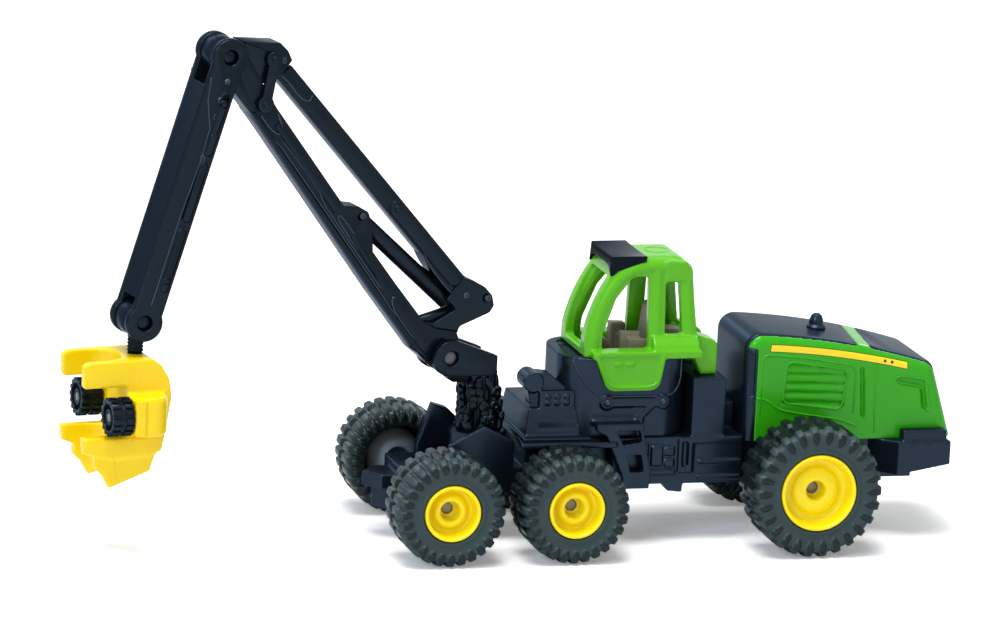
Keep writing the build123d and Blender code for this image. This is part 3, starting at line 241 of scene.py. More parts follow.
def softened(node, width, material, steps=2):
    """Node with rounded edges: each edge that turns more than the limit is cut to an arc."""
    edges = dressed(node, material).modifiers.new("edges", "BEVEL")
    edges.width, edges.segments = width * MM, steps
    edges.limit_method, edges.angle_limit = "ANGLE", np.radians(CUT_ANGLE)
    edges.use_clamp_overlap, edges.harden_normals = False, True


KEPT_SHARE = 0.42


def melted(node, cell, passes, material, extra=(), copied=True):
    """Node rounded all over, as thick enamel or soft moulding leaves it: its surface, joined with the
    extra ones, drawn again over a cubic grid, and each point moved a few times towards its neighbours.
    At last faces are joined where it is flattest, until the kept share of them is left."""
    piece = dressed(node, material, 0, extra, copied)
    net = piece.modifiers.new("net", "REMESH")
    net.mode, net.voxel_size, net.use_smooth_shade = "VOXEL", cell * MM, True
    ease = piece.modifiers.new("ease", "SMOOTH")
    ease.factor, ease.iterations = 0.5, passes
    piece.modifiers.new("fewer", "DECIMATE").ratio = KEPT_SHARE


def grid(points, rows_close=False, columns_close=True):
    """Surface over a grid of points: the points, and four-sided faces between neighbours."""
    rows, columns = points.shape[:2]
    index = np.arange(rows * columns).reshape(rows, columns)
    if rows_close:
        index = np.vstack([index, index[:1]])
    if columns_close:
        index = np.hstack([index, index[:, :1]])
    quads = np.stack([index[:-1, :-1], index[1:, :-1], index[1:, 1:], index[:-1, 1:]], -1)
    return points.reshape(-1, 3), quads.reshape(-1, 4)


def fitted(name, surfaces, material, body, sharp=40):
    """One piece from surfaces in millimetres: points that coincide are merged, which closes seams
    and poles, faces are turned outwards, and edges over the sharp angle stay crisp."""
    starts = np.cumsum([0] + [len(points) for points, _ in surfaces])
    points = np.concatenate([points for points, _ in surfaces]) - (ORIGIN_X, 0, 0)
    quads = np.concatenate([faces + start for (_, faces), start in zip(surfaces, starts)])
    mesh = bpy.data.meshes.new(name)
    mesh.from_pydata((points * MM).tolist(), [], quads.tolist())
    work = bmesh.new()
    work.from_mesh(mesh)
    bmesh.ops.remove_doubles(work, verts=work.verts, dist=MERGE_GAP / 2 * MM)
    bmesh.ops.recalc_face_normals(work, faces=work.faces)
    work.to_mesh(mesh)
    work.free()
    mesh.shade_smooth()
    mesh.set_sharp_from_angle(angle=np.radians(sharp))
    mesh.materials.append(material)
    piece = bpy.data.objects.new(name, mesh)
    bpy.context.scene.collection.objects.link(piece)
    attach(piece, body)
    return piece


def unit(vectors):
    """Vectors divided by their own length."""
    return vectors / np.linalg.norm(vectors, axis=-1, keepdims=True)


def lathe(profile, centre, axis, sides=24):
    """Surface turned about an axis: each (along, radius) point of the profile goes round the line
    that leaves the centre along the axis, at even angles."""
    axis = unit(np.asarray(axis, float))
    upright = (0.0, 0.0, 1.0) if abs(axis[2]) < 0.9 else (1.0, 0.0, 0.0)
    first = unit(np.cross(axis, upright))
    second = np.cross(axis, first)
    turn = np.linspace(0, 2 * np.pi, sides, endpoint=False)[:, None]
    spoke = np.cos(turn) * first + np.sin(turn) * second
    along, radius = np.asarray(profile, float).T
    return grid(np.asarray(centre, float) + along[:, None, None] * axis + radius[:, None, None] * spoke)


def eased(points, cut, closed=True):
    """Corner cutting: each corner of a line becomes two points, at the distance cut along its two
    sides, but no further than 0.3 of a side. Done twice, the second time with a third of cut."""
    points = np.asarray(points, float)
    for reach in (cut, cut / 3):
        after = np.roll(points, -1, 0) - points
        before = np.roll(points, 1, 0) - points
        lengths = [np.maximum(np.linalg.norm(way, axis=1, keepdims=True), 1e-9) for way in (before, after)]
        parts = [way * np.minimum(reach / size, 0.3) for way, size in zip((before, after), lengths)]
        pair = np.stack([points + parts[0], points + parts[1]], 1)
        if not closed:
            pair[0] = points[0]
            pair[-1] = points[-1]
        points = pair.reshape(-1, points.shape[1])
    if not closed:
        points = points[3:-3]
    return points


def bead(path, radius, upward, closed=False, sides=10):
    """Round bead along a path: at each point a circle in the plane that halves the turn there, and
    at an open end a dome of two smaller rings and a pole."""
    path = np.asarray(path, float)
    ahead = unit(np.roll(path, -1, 0) - path)
    behind = unit(path - np.roll(path, 1, 0))
    if not closed:
        ahead[-1], behind[0] = behind[-1], ahead[0]
    way = unit(ahead + behind)
    side = unit(np.cross(way, upward))
    over = np.cross(side, way)
    sizes = np.full(len(path), float(radius))
    if not closed:
        tips = [(-1.0, 0.0), (-0.7, 0.7)]
        path = np.vstack([[path[0] + way[0] * radius * push for push, _ in tips], path,
                          [path[-1] - way[-1] * radius * push for push, _ in reversed(tips)]])
        side, over = [np.vstack([v[:1], v[:1], v, v[-1:], v[-1:]]) for v in (side, over)]
        sizes = np.concatenate([[0, 0.7 * radius], sizes, [0.7 * radius, 0]])
    turn = np.linspace(0, 2 * np.pi, sides, endpoint=False)[None, :, None]
    ring = np.cos(turn) * side[:, None] + np.sin(turn) * over[:, None]
    return grid(path[:, None] + sizes[:, None, None] * ring, rows_close=closed)


def upright(along, up, level):
    """Outline in the plane along the toy, its levels across."""
    return np.stack([along, level, up], -1)


def lying(along, across, level):
    """Outline flat on the floor, its levels upwards."""
    return np.stack([along, across, level], -1)


def lengthwise(across, up, level):
    """Outline in the plane across the toy, its levels along."""
    return np.stack([level, across, up], -1)


def slab(outline, low, high, lay):
    """Closed block: a flat outline swept from the low to the high level, with both ends closed to the
    outline's mean point. Lay says which way the outline and its levels run."""
    outline = np.asarray(outline, float)
    middle = np.repeat(outline.mean(0, keepdims=True), len(outline), 0)
    rings = [(middle, low), (outline, low), (outline, high), (middle, high)]
    rows = [lay(ring[:, 0], ring[:, 1], np.full(len(ring), float(level))) for ring, level in rings]
    return grid(np.stack(rows))


def on_flank(points, y):
    """(x, z) points of a drawing placed on the upright plane at y."""
    points = np.asarray(points, float)
    return np.stack([points[:, 0], np.full(len(points), float(y)), points[:, 1]], 1)


SIDES = {-1: "near", 1: "far"}
# The enamel has a metallic sheen, and its tint keeps the mirrored room dark and blue at a low angle.
DARK_SHEEN, LOW_ANGLE = 0.8, (0.47, 0.53, 0.58, 1)
DARK_ENAMEL, LIGHT_ENAMEL = (0.016, 0.025, 0.040, 1), (0.025, 0.037, 0.056, 1)
cast_enamel = moulded("cast_enamel", DARK_ENAMEL, LIGHT_ENAMEL, 0.27, 0.1, tint=LOW_ANGLE, metal=DARK_SHEEN)
# Raised lines and bolt heads: the enamel is painted paler as a painted highlight along them.
PAINTED_GLINT_DARK, PAINTED_GLINT_LIGHT = (0.035, 0.048, 0.068, 1), (0.048, 0.064, 0.086, 1)
painted_highlight_lines = moulded("painted_highlight_lines", PAINTED_GLINT_DARK, PAINTED_GLINT_LIGHT, 0.2, 0.1, tint=LOW_ANGLE, metal=DARK_SHEEN)
# Casting: (node, cell, passes)
CASTINGS = [("front_frame", 0.16, 3), ("deck", 0.16, 3), ("tool_box", 0.13, 3), ("rear_carrier", 0.16, 3),
            ("step_near", 0.14, 3), ("step_far", 0.14, 3), ("bumper", 0.17, 4)]
for node, cell, passes in CASTINGS:
    melted(node, cell, passes, cast_enamel)

# Round tub: the same casting, closed in front of the cab by a low deck with one screw in it.
TUB_DECK = [(18.2, -2.4), (18.2, 2.4), (19.2, 4.8), (21.4, 6.0), (23.4, 6.0), (23.4, -6.0), (21.4, -6.0),
            (19.2, -4.8)]
TUB_TOP, TUB_DECK_THICK = 25.0, 0.8
SCREW = [(-0.5, 0), (-0.5, 0.5), (0.1, 0.5), (0.2, 0.35), (0.2, 0)]
deck_plate = slab(eased(TUB_DECK, 0.6), TUB_TOP - TUB_DECK_THICK, TUB_TOP, lying)
screw = lathe(SCREW, (19.6, 2.4, TUB_TOP), (0, 0, 1), 16)
melted("cab_base", 0.15, 4, cast_enamel, extra=[deck_plate, screw])

# Cast lines on the tub: a rounded bead that follows the door's foot at a distance, and the heads of
# the linkage's bolts. Both are part of the casting, on its flat flanks, and are painted paler than it as a
# painted highlight.
TUB_FLANK, TUB_CORNER, TUB_FLAT, LINK_FACE = 7.0, 4.6, (22.2, 30.7), 7.5
TUB_LINE = [(18.9, 25.0), (19.3, 24.0), (19.8, 22.9), (20.4, 22.0), (21.1, 21.1), (22.0, 20.4), (22.9, 20.1),
            (31.9, 20.0), (32.6, 20.2), (33.2, 20.6), (33.8, 21.4), (34.0, 22.2), (34.0, 25.0)]
LINK_BOLTS = [(23.5, 19.3), (31.2, 19.3)]
BOLT_HEAD = [(-0.3, 0), (-0.3, 0.42), (0.05, 0.42), (0.16, 0.3), (0.1, 0.16), (0.1, 0)]
lines = []
for side in SIDES:
    foot = eased(TUB_LINE, 0.5, closed=False)
    path = on_flank(foot, 0)
    beyond = np.maximum(np.maximum(TUB_FLAT[0] - foot[:, 0], foot[:, 0] - TUB_FLAT[1]), 0)
    path[:, 1] = side * (TUB_FLANK - TUB_CORNER + np.sqrt(TUB_CORNER ** 2 - beyond ** 2))
    lines.append(bead(path, 0.16, (0, 1, 0)))
    for x, z in LINK_BOLTS:
        lines.append(lathe(BOLT_HEAD, (x, side * LINK_FACE, z), (0, side, 0)))
fitted("tub_lines", lines, painted_highlight_lines, "root")

# Tyres: soft dark rubber rings with a smooth middle band and 28 or 26 raised bars on each half of
# the tread, which wrap over the shoulder and end round on the sidewall. Each is pressed on its hub.
# Axle: (name, x, tyre's radius, width, rim's radius, bars)
AXLES = [("front", FRONT_AXLE_X, 7.4, 8.8, 3.8, 28), ("mid", MID_AXLE_X, 7.4, 8.8, 3.8, 28),
         ("rear", REAR_AXLE_X, 9.0, 8.6, 5.2, 26)]
HALF_TRACK = 18.4
# Bar of the tread: half thickness at its inner end, at the shoulder and at its outer end.
LUG_HALVES = [0.56, 0.5, 0.36]
LUG_HEIGHT, LUG_END_HEIGHT, LUG_START, LUG_CORNER, LUG_SLOPE = 0.45, 0.3, 0.6, 0.12, 0.22
SAMPLES_PER_LUG = 10
SECTION_SAMPLES = 84
TREAD_DARK, TREAD_LIGHT = (0.014, 0.021, 0.023, 1), (0.022, 0.031, 0.033, 1)
WALL_GREY = (0.042, 0.062, 0.066, 1)


def evenly(points, count):
    """The closed line through the points, sampled at even steps of its own length."""
    loop = np.vstack([points, points[:1]])
    travelled = np.concatenate([[0], np.cumsum(np.linalg.norm(np.diff(loop, axis=0), axis=1))])
    steps = np.linspace(0, travelled[-1], count, endpoint=False)
    return np.stack([np.interp(steps, travelled, loop[:, i]) for i in range(loop.shape[1])], 1)


def step(value, edge):
    """Smooth step: 0 below -edge / 2, 1 above edge / 2, with the curve 3t^2 - 2t^3 between."""
    t = np.clip(value / edge + 0.5, 0, 1)
    return t * t * (3 - 2 * t)


def carcass(radius, width, rim):
    """Cross-section of a tyre without lugs: (distance in from the outer face, radius) points."""
    low = radius - LUG_HEIGHT
    points = [
        (0.6, rim + 0.02), (0.35, rim + 0.15), (0.2, rim + 0.35), (0.45, rim + 0.75),
        (0.5, 0.66 * radius), (0.3, 0.77 * radius), (0.26, 0.85 * radius), (0.38, low - 0.42),
        (1.1, low - 0.02), (0.35 * width, low), (0.65 * width, low),
        (width - 1.1, low - 0.02), (width - 0.38, low - 0.42), (width - 0.26, 0.85 * radius),
        (width - 0.3, 0.77 * radius), (width - 0.2, rim + 1.3), (width - 0.5, rim + 1.05),
        (width / 2 + 0.7, rim + 1.0), (width / 2 - 0.4, rim + 0.6), (width / 2 - 0.5, rim + 0.02)]
    return evenly(eased(points, 0.5), SECTION_SAMPLES)


def tyre_skin(x, radius, width, rim, lugs, side):
    """Tyre over a grid of angle and section. The section's points move out along their own normals
    by the lug height, inside a rounded bar that repeats once a pitch on each half of the tread."""
    section = carcass(radius, width, rim)
    way = unit(np.roll(section, -1, 0) - np.roll(section, 1, 0))
    normal = np.stack([-way[:, 1], way[:, 0]], 1)
    step_size = np.linalg.norm(section[1] - section[0])
    crown = np.argmax(section[:, 1] - 0.001 * np.abs(section[:, 0] - width / 2))
    across = np.abs(np.arange(len(section)) - crown) * step_size
    shoulder = width / 2 - 0.7
    foot = shoulder + 0.2 * radius
    half = np.interp(across, [0, shoulder, foot], LUG_HALVES)
    height = np.interp(across, [0, shoulder, foot], [LUG_HEIGHT, LUG_HEIGHT, LUG_END_HEIGHT])
    angle = np.linspace(0, 2 * np.pi, lugs * SAMPLES_PER_LUG, endpoint=False)[:, None]
    pitch = 2 * np.pi / lugs
    sideways = np.abs((angle + pitch / 2) % pitch - pitch / 2) * (radius - 0.5)
    middle = (LUG_START + foot) / 2
    over = np.abs(across - middle) - (foot - LUG_START) / 2
    corner = np.where(across > middle, half, LUG_CORNER)
    outside = np.hypot(np.maximum(sideways - half + corner, 0), np.maximum(over + corner, 0)) - corner
    outside = np.maximum(outside, np.minimum(sideways - half, 0))
    moved = section[None] + normal[None] * (height * step(-outside, LUG_SLOPE))[..., None]
    inset, reach = moved[..., 0], moved[..., 1]
    along, up = x + reach * np.cos(angle), radius + side * reach * np.sin(angle)
    return grid(np.stack([along, side * (HALF_TRACK - inset), up], -1), rows_close=True)


def rubber_paint(centre_x, radius):
    """Matte grey sidewall: all that lies further in than the lugs' faces. The tread is darker."""
    def paint(x, y, z, colour, rough):
        reach = ((x - centre_x) * (x - centre_x) + (z - radius) * (z - radius)).maths("SQRT", 0.0)
        wall = (reach < 0.88 * radius) & (abs(y) < HALF_TRACK - 0.17) & (abs(y) > HALF_TRACK - 1.4)
        return wall.blend(colour, WALL_GREY), rough + 0.3 * wall
    return paint


for axle, x, radius, width, rim, lugs in AXLES:
    rubber = moulded(f"rubber_{axle}", TREAD_DARK, TREAD_LIGHT, 0.27, 0.3, tint=LOW_ANGLE,
                      metal=0.6, paint=rubber_paint(x, radius))
    for side, label in SIDES.items():
        skin = tyre_skin(x, radius, width, rim, lugs, side)
        tyre = fitted(f"rubber_{axle}_{label}", [skin], rubber, f"axle_{axle}", sharp=70)
        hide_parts(f"tyre_{axle}_{label}")

# Hubs: yellow plastic dishes with a rolled rim, a ring-shaped floor and a raised disc, whose conical
# hole holds the end of the steel axle. Only the outside is painted, the back is bare grey.
AXLE_RECESS, HUB_HOLE = 3.6, 1.3
YELLOW_DARK, YELLOW_LIGHT = (0.87, 0.66, 0.002, 1), (0.92, 0.74, 0.006, 1)
BARE_GREY = (0.22, 0.25, 0.27, 1)


def hub_profile(width, rim):
    """Closed section of a hub, (distance in from the tyre's face, radius) points with eased corners."""
    floor = 0.28 * width
    seat = 0.45 * width
    disc = 0.6 * rim
    section = eased([
        (AXLE_RECESS, 0.72), (0.72 * width, 0.72), (0.71 * width, 0.35 * rim), (0.66 * width, 0.65 * rim),
        (seat + 0.8, 0.9 * rim), (seat, rim), (0.45, rim), (0.2, rim - 0.1), (0.2, rim - 0.42),
        (0.55, rim - 0.6), (floor, 0.83 * rim), (floor, disc + 0.2), (0.8 * floor, disc),
        (0.64 * floor, HUB_HOLE + 0.55), (0.7 * floor, HUB_HOLE), (AXLE_RECESS, 0.9 * HUB_HOLE)], 0.3)
    return np.vstack([section, section[:1]])


def hub_paint(width):
    """Bare grey on all that lies further in than 0.42 of the tyre's width."""
    def paint(x, y, z, colour, rough):
        back = abs(y) < HALF_TRACK - 0.42 * width
        return back.blend(colour, BARE_GREY), rough + 0.1 * back
    return paint


AXLE_DARK, AXLE_LIGHT = (0.16, 0.15, 0.11, 1), (0.33, 0.31, 0.25, 1)
axle_steel = moulded("axle_steel", AXLE_DARK, AXLE_LIGHT, 0.42)
for axle, x, radius, width, rim, _ in AXLES:
    yellow_hub = moulded(f"yellow_hub_{width}", YELLOW_DARK, YELLOW_LIGHT, 0.26, gloss=0.35, grain=0.08,
                          paint=hub_paint(width))
    softened(f"axle_{axle}", 0.15, axle_steel)
    for side, label in SIDES.items():
        dish = lathe(hub_profile(width, rim), (x, side * HALF_TRACK, radius), (0, -side, 0), sides=72)
        hub = fitted(f"dish_{axle}_{label}", [dish], yellow_hub, f"axle_{axle}", sharp=60)
        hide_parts(f"hub_{axle}_{label}")

# Cab interior: seat, consoles, a pedal board and the round cover behind the seat, in one grey-brown
# plastic moulding that stands on the tub's floor.
# Block: (side outline, near level, far level)
INTERIOR = [
    ([(22.5, 22.0), (33.5, 22.0), (33.5, 22.8), (22.5, 22.8)], -4.0, 4.0),
    ([(27.2, 22.5), (30.6, 22.5), (30.6, 26.2), (27.2, 26.5)], -2.2, 2.2),
    ([(29.8, 25.8), (30.4, 30.8), (30.8, 31.2), (31.5, 31.2), (31.5, 25.8)], -2.0, 2.0),
    ([(25.9, 22.5), (28.7, 22.5), (28.7, 28.0), (26.0, 28.1)], -3.6, -2.5),
    ([(26.8, 22.5), (29.9, 22.5), (29.9, 27.1), (26.9, 27.3)], -4.2, -3.3),
    ([(26.2, 22.5), (28.4, 22.5), (28.4, 27.9), (26.3, 28.0)], 2.3, 4.0),
    ([(23.3, 22.5), (26.0, 22.5), (25.9, 24.9), (24.5, 26.8), (23.6, 27.3)], -3.0, -1.2),
]
INTERIOR_DARK, INTERIOR_LIGHT = (0.15, 0.125, 0.085, 1), (0.22, 0.185, 0.13, 1)
ROUND_COVER = [(-2, 0), (-2, 1.9), (3.4, 1.9), (4.0, 1.5), (4.2, 0)]
interior_plastic = moulded("interior_plastic", INTERIOR_DARK, INTERIOR_LIGHT, 0.5, gloss=0.3)
blocks = [slab(outline, near, far, upright) for outline, near, far in INTERIOR]
blocks.append(lathe(ROUND_COVER, (33.3, -0.8, 24.0), (0, 0, 1), 32))
melted("cab_interior", 0.14, 4, interior_plastic, extra=blocks, copied=False)

# Cab: one light green plastic moulding with thick round posts and open windows. Its door panels hang
# over the tub, and it is pushed onto the tub from above.
DOOR_FACE = 7.7
# The cab's flank leans in: (height, half width) at its foot and at the roof
FLANK_LOW, FLANK_HIGH, POST_INSET = (25.2, 6.0), (38.4, 4.8), 0.8
# Post: (radius, points of its middle line from its foot)
POSTS = [
    (1.12, [(21.55, 25.3), (21.55, 26.8), (21.8, 28.6), (22.4, 30.8), (23.4, 33.1), (24.75, 35.2),
            (26.5, 36.6), (28.8, 37.1), (31.5, 37.1), (34.0, 36.9)]),
    (1.05, [(30.35, 25.4), (30.35, 31.0), (30.35, 36.9)]),
    (1.0, [(35.15, 25.6), (34.9, 29.0), (34.4, 36.6)]),
]
BAND = [(5.3, 25.3), (7.55, 25.3), (7.6, 26.1), (7.2, 27.0), (6.4, 27.8), (5.3, 28.2)]
ROOF_END = [(31.5, 35.2), (35.2, 35.2), (35.1, 36.6), (34.2, 37.9), (31.5, 38.0)]
extra = []
for side in SIDES:
    for thick, points in POSTS:
        middle = eased(points, 1.0, closed=False) if len(points) > 4 else np.asarray(points)
        path = on_flank(middle, 0)
        path[:, 1] = side * (np.interp(path[:, 2], *zip(FLANK_LOW, FLANK_HIGH)) - POST_INSET)
        extra.append(bead(path, thick, (0, 1, 0), sides=16))
    extra.append(slab([(side * y, z) for y, z in BAND], 29.6, 36.0, lengthwise))
    extra.append(slab(ROOF_END, side * 4.0, side * 5.3, upright))
CAB_DARK, CAB_LIGHT = (0.075, 0.36, 0.002, 1), (0.095, 0.42, 0.004, 1)
cab_plastic = moulded("cab_plastic", CAB_DARK, CAB_LIGHT, 0.24, gloss=0.3)
melted("cab", 0.13, 12, cab_plastic, extra=extra)
DOOR_RIM = [(21.5, 26.0), (22.6, 23.3), (23.6, 21.4), (30.0, 21.4), (30.6, 23.0), (31.0, 26.0)]
HATCH_X, HATCH_R, ROOF_Z = 31.4, 1.6, 38.38
rim_line = eased(DOOR_RIM, 1.0, closed=False)
lines = [bead(on_flank(rim_line, side * (DOOR_FACE - 0.05)), 0.2, (0, 1, 0)) for side in SIDES]
turn = np.linspace(0, 2 * np.pi, 40, endpoint=False)
hatch = np.stack([HATCH_X + HATCH_R * np.cos(turn), HATCH_R * np.sin(turn), np.full(len(turn), ROOF_Z)], 1)
lines.append(bead(hatch, 0.1, (0, 0, 1), closed=True))
fitted("cab_lines", lines, cab_plastic, "root")

# Sun visor: a glossy black plastic cap clipped on the roof's front edge. Its top sinks a little to the
# middle, its front lip is arched, and both its sides are drawn down to a point.
VISOR_HALF, VISOR_SECTIONS, VISOR_DIP = 5.05, 49, 0.4
VISOR_FRONT, VISOR_LENGTH, VISOR_EDGE = 23.6, 5.2, 38.3


def visor_shell():
    """Cap over a grid of width and section: each section is a closed line round lip, top and underside.
    The lip rises with the sixth power of the distance from the side, the top dips by a parabola."""
    rows = []
    for share in np.sin(np.linspace(-np.pi / 2, np.pi / 2, VISOR_SECTIONS)):
        low = 37.35 - 1.35 * abs(share) ** 6
        dip = VISOR_DIP * (1 - share ** 2)
        inner = 38.2 - 1.6 * abs(share) ** 14
        section = eased([(23.65, low), (23.85, 38.64), (28.75, 38.66 - 0.2 * dip),
                         (28.65, 38.1 - 0.1 * abs(share)), (24.6, inner), (24.1, low)], 0.1)
        middle = np.sin(np.pi * np.clip((section[:, 0] - VISOR_FRONT) / VISOR_LENGTH, 0, 1))
        section[:, 1] -= dip * middle * np.clip((section[:, 1] - VISOR_EDGE) / 0.3, 0, 1)
        rows.append(np.stack([section[:, 0], np.full(len(section), VISOR_HALF * share), section[:, 1]], 1))
    ends = [np.repeat(row.mean(0, keepdims=True), len(row), 0) for row in (rows[0], rows[-1])]
    return grid(np.stack([ends[0], *rows, ends[1]]))


VISOR_DARK, VISOR_LIGHT = (0.005, 0.007, 0.012, 1), (0.008, 0.011, 0.017, 1)
VISOR_LOW_ANGLE = (0.35, 0.38, 0.42, 1)
visor_plastic = moulded("visor_plastic", VISOR_DARK, VISOR_LIGHT, 0.1, 0.1, tint=VISOR_LOW_ANGLE,
                        metal=DARK_SHEEN)
visor = fitted("visor", [visor_shell()], visor_plastic, "root", sharp=30)
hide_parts("roof_visor")

# Engine hood: die-cast metal in glossy green enamel, with a printed yellow stripe that ends in two
# dots, cast panel lines and slats, and the dark enamelled lid and front columns let into it.
HOOD_FLANK = 7.5
HOOD_DARK, HOOD_LIGHT = (0.022, 0.3, 0.003, 1), (0.03, 0.36, 0.004, 1)
STRIPE_YELLOW = (0.93, 0.66, 0.02, 1)
STRIPE_EDGE = (0.015, 0.04, 0.004, 1)
STRIPE_DOTS, STRIPE_DOT_R = [(62.03, 24.33), (63.04, 24.16)], 0.21
STRIPE_START, STRIPE_END, STRIPE_TOP, STRIPE_HEIGHT = 45.9, 65.25, 26.84, 0.92
STRIPE_SPAN, STRIPE_FALL, STRIPE_BEND = 19.4, 1.06, 1.7
OUTLINE_FROM, OUTLINE_TO = -0.07, 0.02


def hood_paint(x, y, z, colour, rough):
    """Stripe between two curves that bend down with the square of the distance from its front end."""
    along = (x - STRIPE_START) * (1 / STRIPE_SPAN)
    top = STRIPE_TOP - (along * STRIPE_FALL + along * along * STRIPE_BEND)
    flank = abs(y) - HOOD_FLANK + 0.3
    ends = (x - STRIPE_START + (26.8 - z) * 0.1) & (STRIPE_END - x)
    inside = (top - z) & (z - (top - STRIPE_HEIGHT)) & ends & flank
    colour = (inside > OUTLINE_FROM).blend(colour, STRIPE_EDGE)
    colour = (inside > OUTLINE_TO).blend(colour, STRIPE_YELLOW)
    for dot_x, dot_z in STRIPE_DOTS:
        near = (x - dot_x) * (x - dot_x) + (z - dot_z) * (z - dot_z) < STRIPE_DOT_R ** 2
        colour = (near & (flank > 0)).blend(colour, STRIPE_EDGE)
    return colour, rough


hood_enamel = moulded("hood_enamel", HOOD_DARK, HOOD_LIGHT, 0.2, gloss=0.26, paint=hood_paint)
melted("hood", 0.17, 3, hood_enamel)
LID_LOW_ANGLE = (0.52, 0.57, 0.62, 1)
lid_enamel = moulded("lid_enamel", DARK_ENAMEL, LIGHT_ENAMEL, 0.3, 0.1, tint=LID_LOW_ANGLE, metal=DARK_SHEEN)
softened("hood_lid", 0.1, lid_enamel)
softened("beacon", 0.1, cast_enamel)
# Line: (closed, radius, points)
HOOD_LINES = [
    (False, 0.14, [(44.7, 17.0), (44.8, 25.5), (51.0, 24.9), (58.0, 23.7), (57.9, 17.2)]),
    (True, 0.14, [(48.2, 24.5), (56.9, 23.2), (56.2, 17.7), (47.8, 18.8)]),
    (False, 0.14, [(60.8, 24.2), (60.9, 18.5), (61.0, 14.2)]),
    (False, 0.16, [(44.1, 19.5), (45.7, 19.3), (47.3, 17.9), (50.2, 17.3), (56.0, 16.4), (58.6, 15.4)]),
    (True, 0.12, [(63.7, 22.3), (68.3, 21.6), (69.0, 17.2), (68.1, 17.3), (67.6, 20.7), (63.9, 21.3)]),
    (True, 0.1, [(58.8, 23.5), (59.3, 23.4), (59.7, 16.6), (59.2, 16.7)]),
]
lines = []
for side in SIDES:
    for closed, radius, points in HOOD_LINES:
        path = on_flank(eased(points, 0.6, closed), side * (HOOD_FLANK - 0.04))
        lines.append(bead(path, radius, (0, 1, 0), closed))
fitted("hood_lines", lines, hood_enamel, "root")

# Crane: pillar, boom, stick and pins are moulded in satin black plastic and pinned together. Every
# point of it is drawn in the crane's own plane: forward of the pillar, sideways and up.
PILLAR_X = 7.7
SLEW = np.radians(9.0)
CROSSWISE = (-np.sin(SLEW), np.cos(SLEW), 0.0)
BOOM_FLANK, STICK_FLANK = 1.85, 3.4


def crane(forward, sideways, up):
    """Points of the crane's plane turned about the pillar to where the crane stands."""
    forward, sideways, up = np.broadcast_arrays(*[np.asarray(v, float) for v in (forward, sideways, up)])
    return np.stack([PILLAR_X - forward * np.cos(SLEW) - sideways * np.sin(SLEW),
                     -forward * np.sin(SLEW) + sideways * np.cos(SLEW), up], -1)


def crane_line(points, sideways, radius, closed=False, cut=0.6):
    """Bead on a flank of the crane, along (forward, up) points with eased corners."""
    points = eased(points, cut, closed)
    return bead(crane(points[:, 0], sideways, points[:, 1]), radius, CROSSWISE, closed)


def crane_bolt(point, sideways, profile, sides=6):
    """Bolt head or boss on a flank of the crane, turned about the crosswise direction."""
    axis = np.multiply(CROSSWISE, np.sign(sideways))
    return lathe(profile, crane(point[0], sideways, point[1]), axis, sides)


CRANE_DARK, CRANE_LIGHT = (0.010, 0.015, 0.021, 1), (0.016, 0.022, 0.030, 1)
CRANE_LOW_ANGLE = (0.38, 0.43, 0.5, 1)
crane_plastic = moulded("crane_plastic", CRANE_DARK, CRANE_LIGHT, 0.25, 0.1, tint=CRANE_LOW_ANGLE,
                        metal=DARK_SHEEN)
# Node and the width of its cut edges
CRANE_EDGES = [("crane_pillar", 0.12), ("boom_main", 0.12), ("boom_top", 0.12), ("boom_rams", 0.1),
               ("boom_links", 0.12), ("stick", 0.2), ("rotator", 0.06)]
for node, edge in CRANE_EDGES:
    softened(node, edge, crane_plastic)
melted("boom_bracket", 0.14, 6, crane_plastic)

# Pillar's hoses: black lines bundled round it, wavy, with swollen couplings. They are part of the
# pillar's moulding and end under its fork.
PILLAR_R, HOSE_LOW, HOSE_HIGH = 2.4, 14.9, 21.7
# Hose: (angle in degrees, swing in degrees, thickness, waves)
HOSES = [(200, 9, 0.6, 1.0), (232, -11, 0.66, 1.3), (264, 12, 0.62, 0.9), (296, -9, 0.68, 1.2),
         (328, 10, 0.6, 1.0), (20, -10, 0.6, 1.1), (75, 9, 0.66, 1.2), (130, -9, 0.6, 0.9)]
COUPLING = [(-0.6, 0), (-0.6, 0.6), (-0.4, 0.78), (0.2, 0.8), (0.42, 0.62), (0.46, 0.35), (0.3, 0.25),
            (0.3, 0)]
COUPLING_PLACES = (3, 7, 11)
# Each hose swings round the pillar by a sine, and leans in with the cube of its height.
rise = np.linspace(0, 1, 16)
hoses = []
for degrees, swing, thick, waves in HOSES:
    around = np.radians(degrees + swing * np.sin(2 * np.pi * waves * rise))
    reach = PILLAR_R + 0.35 + 0.15 * np.cos(2 * np.pi * waves * rise) - 0.9 * rise ** 3
    path = np.stack([PILLAR_X + reach * np.cos(around), reach * np.sin(around),
                     HOSE_LOW + (HOSE_HIGH - HOSE_LOW) * rise], 1)
    hoses.append(bead(path, thick, (np.cos(around[0]), np.sin(around[0]), 0), sides=12))
    for level in COUPLING_PLACES:
        spoke = (np.cos(around[level]), np.sin(around[level]), 0)
        hoses.append(lathe(COUPLING, path[level] + np.multiply(spoke, 0.35), spoke, 10))
hose_plastic = moulded("hose_plastic", CRANE_DARK, CRANE_LIGHT, 0.18, 0.3, tint=LOW_ANGLE, metal=DARK_SHEEN)
fitted("pillar_hoses", hoses, hose_plastic, "crane_base")

# Beam's foot: the lower third of the top beam is a thicker black plastic sleeve with blunt corners.
# It is moulded in one with the bracket.
BEAM_FOOT = [(9.8, 41.4), (10.1, 40.5), (9.8, 39.1), (8.7, 37.1), (6.6, 34.6), (4.4, 32.3), (2.6, 33.0),
             (3.4, 35.2), (8.8, 41.6)]
BEAM_FLANK = 1.56


def crane_slab(outline, low, high):
    """Block of the crane: a (forward, up) outline swept sideways, turned to where the crane stands."""
    points, quads = slab(outline, low, high, upright)
    return crane(*points.T), quads


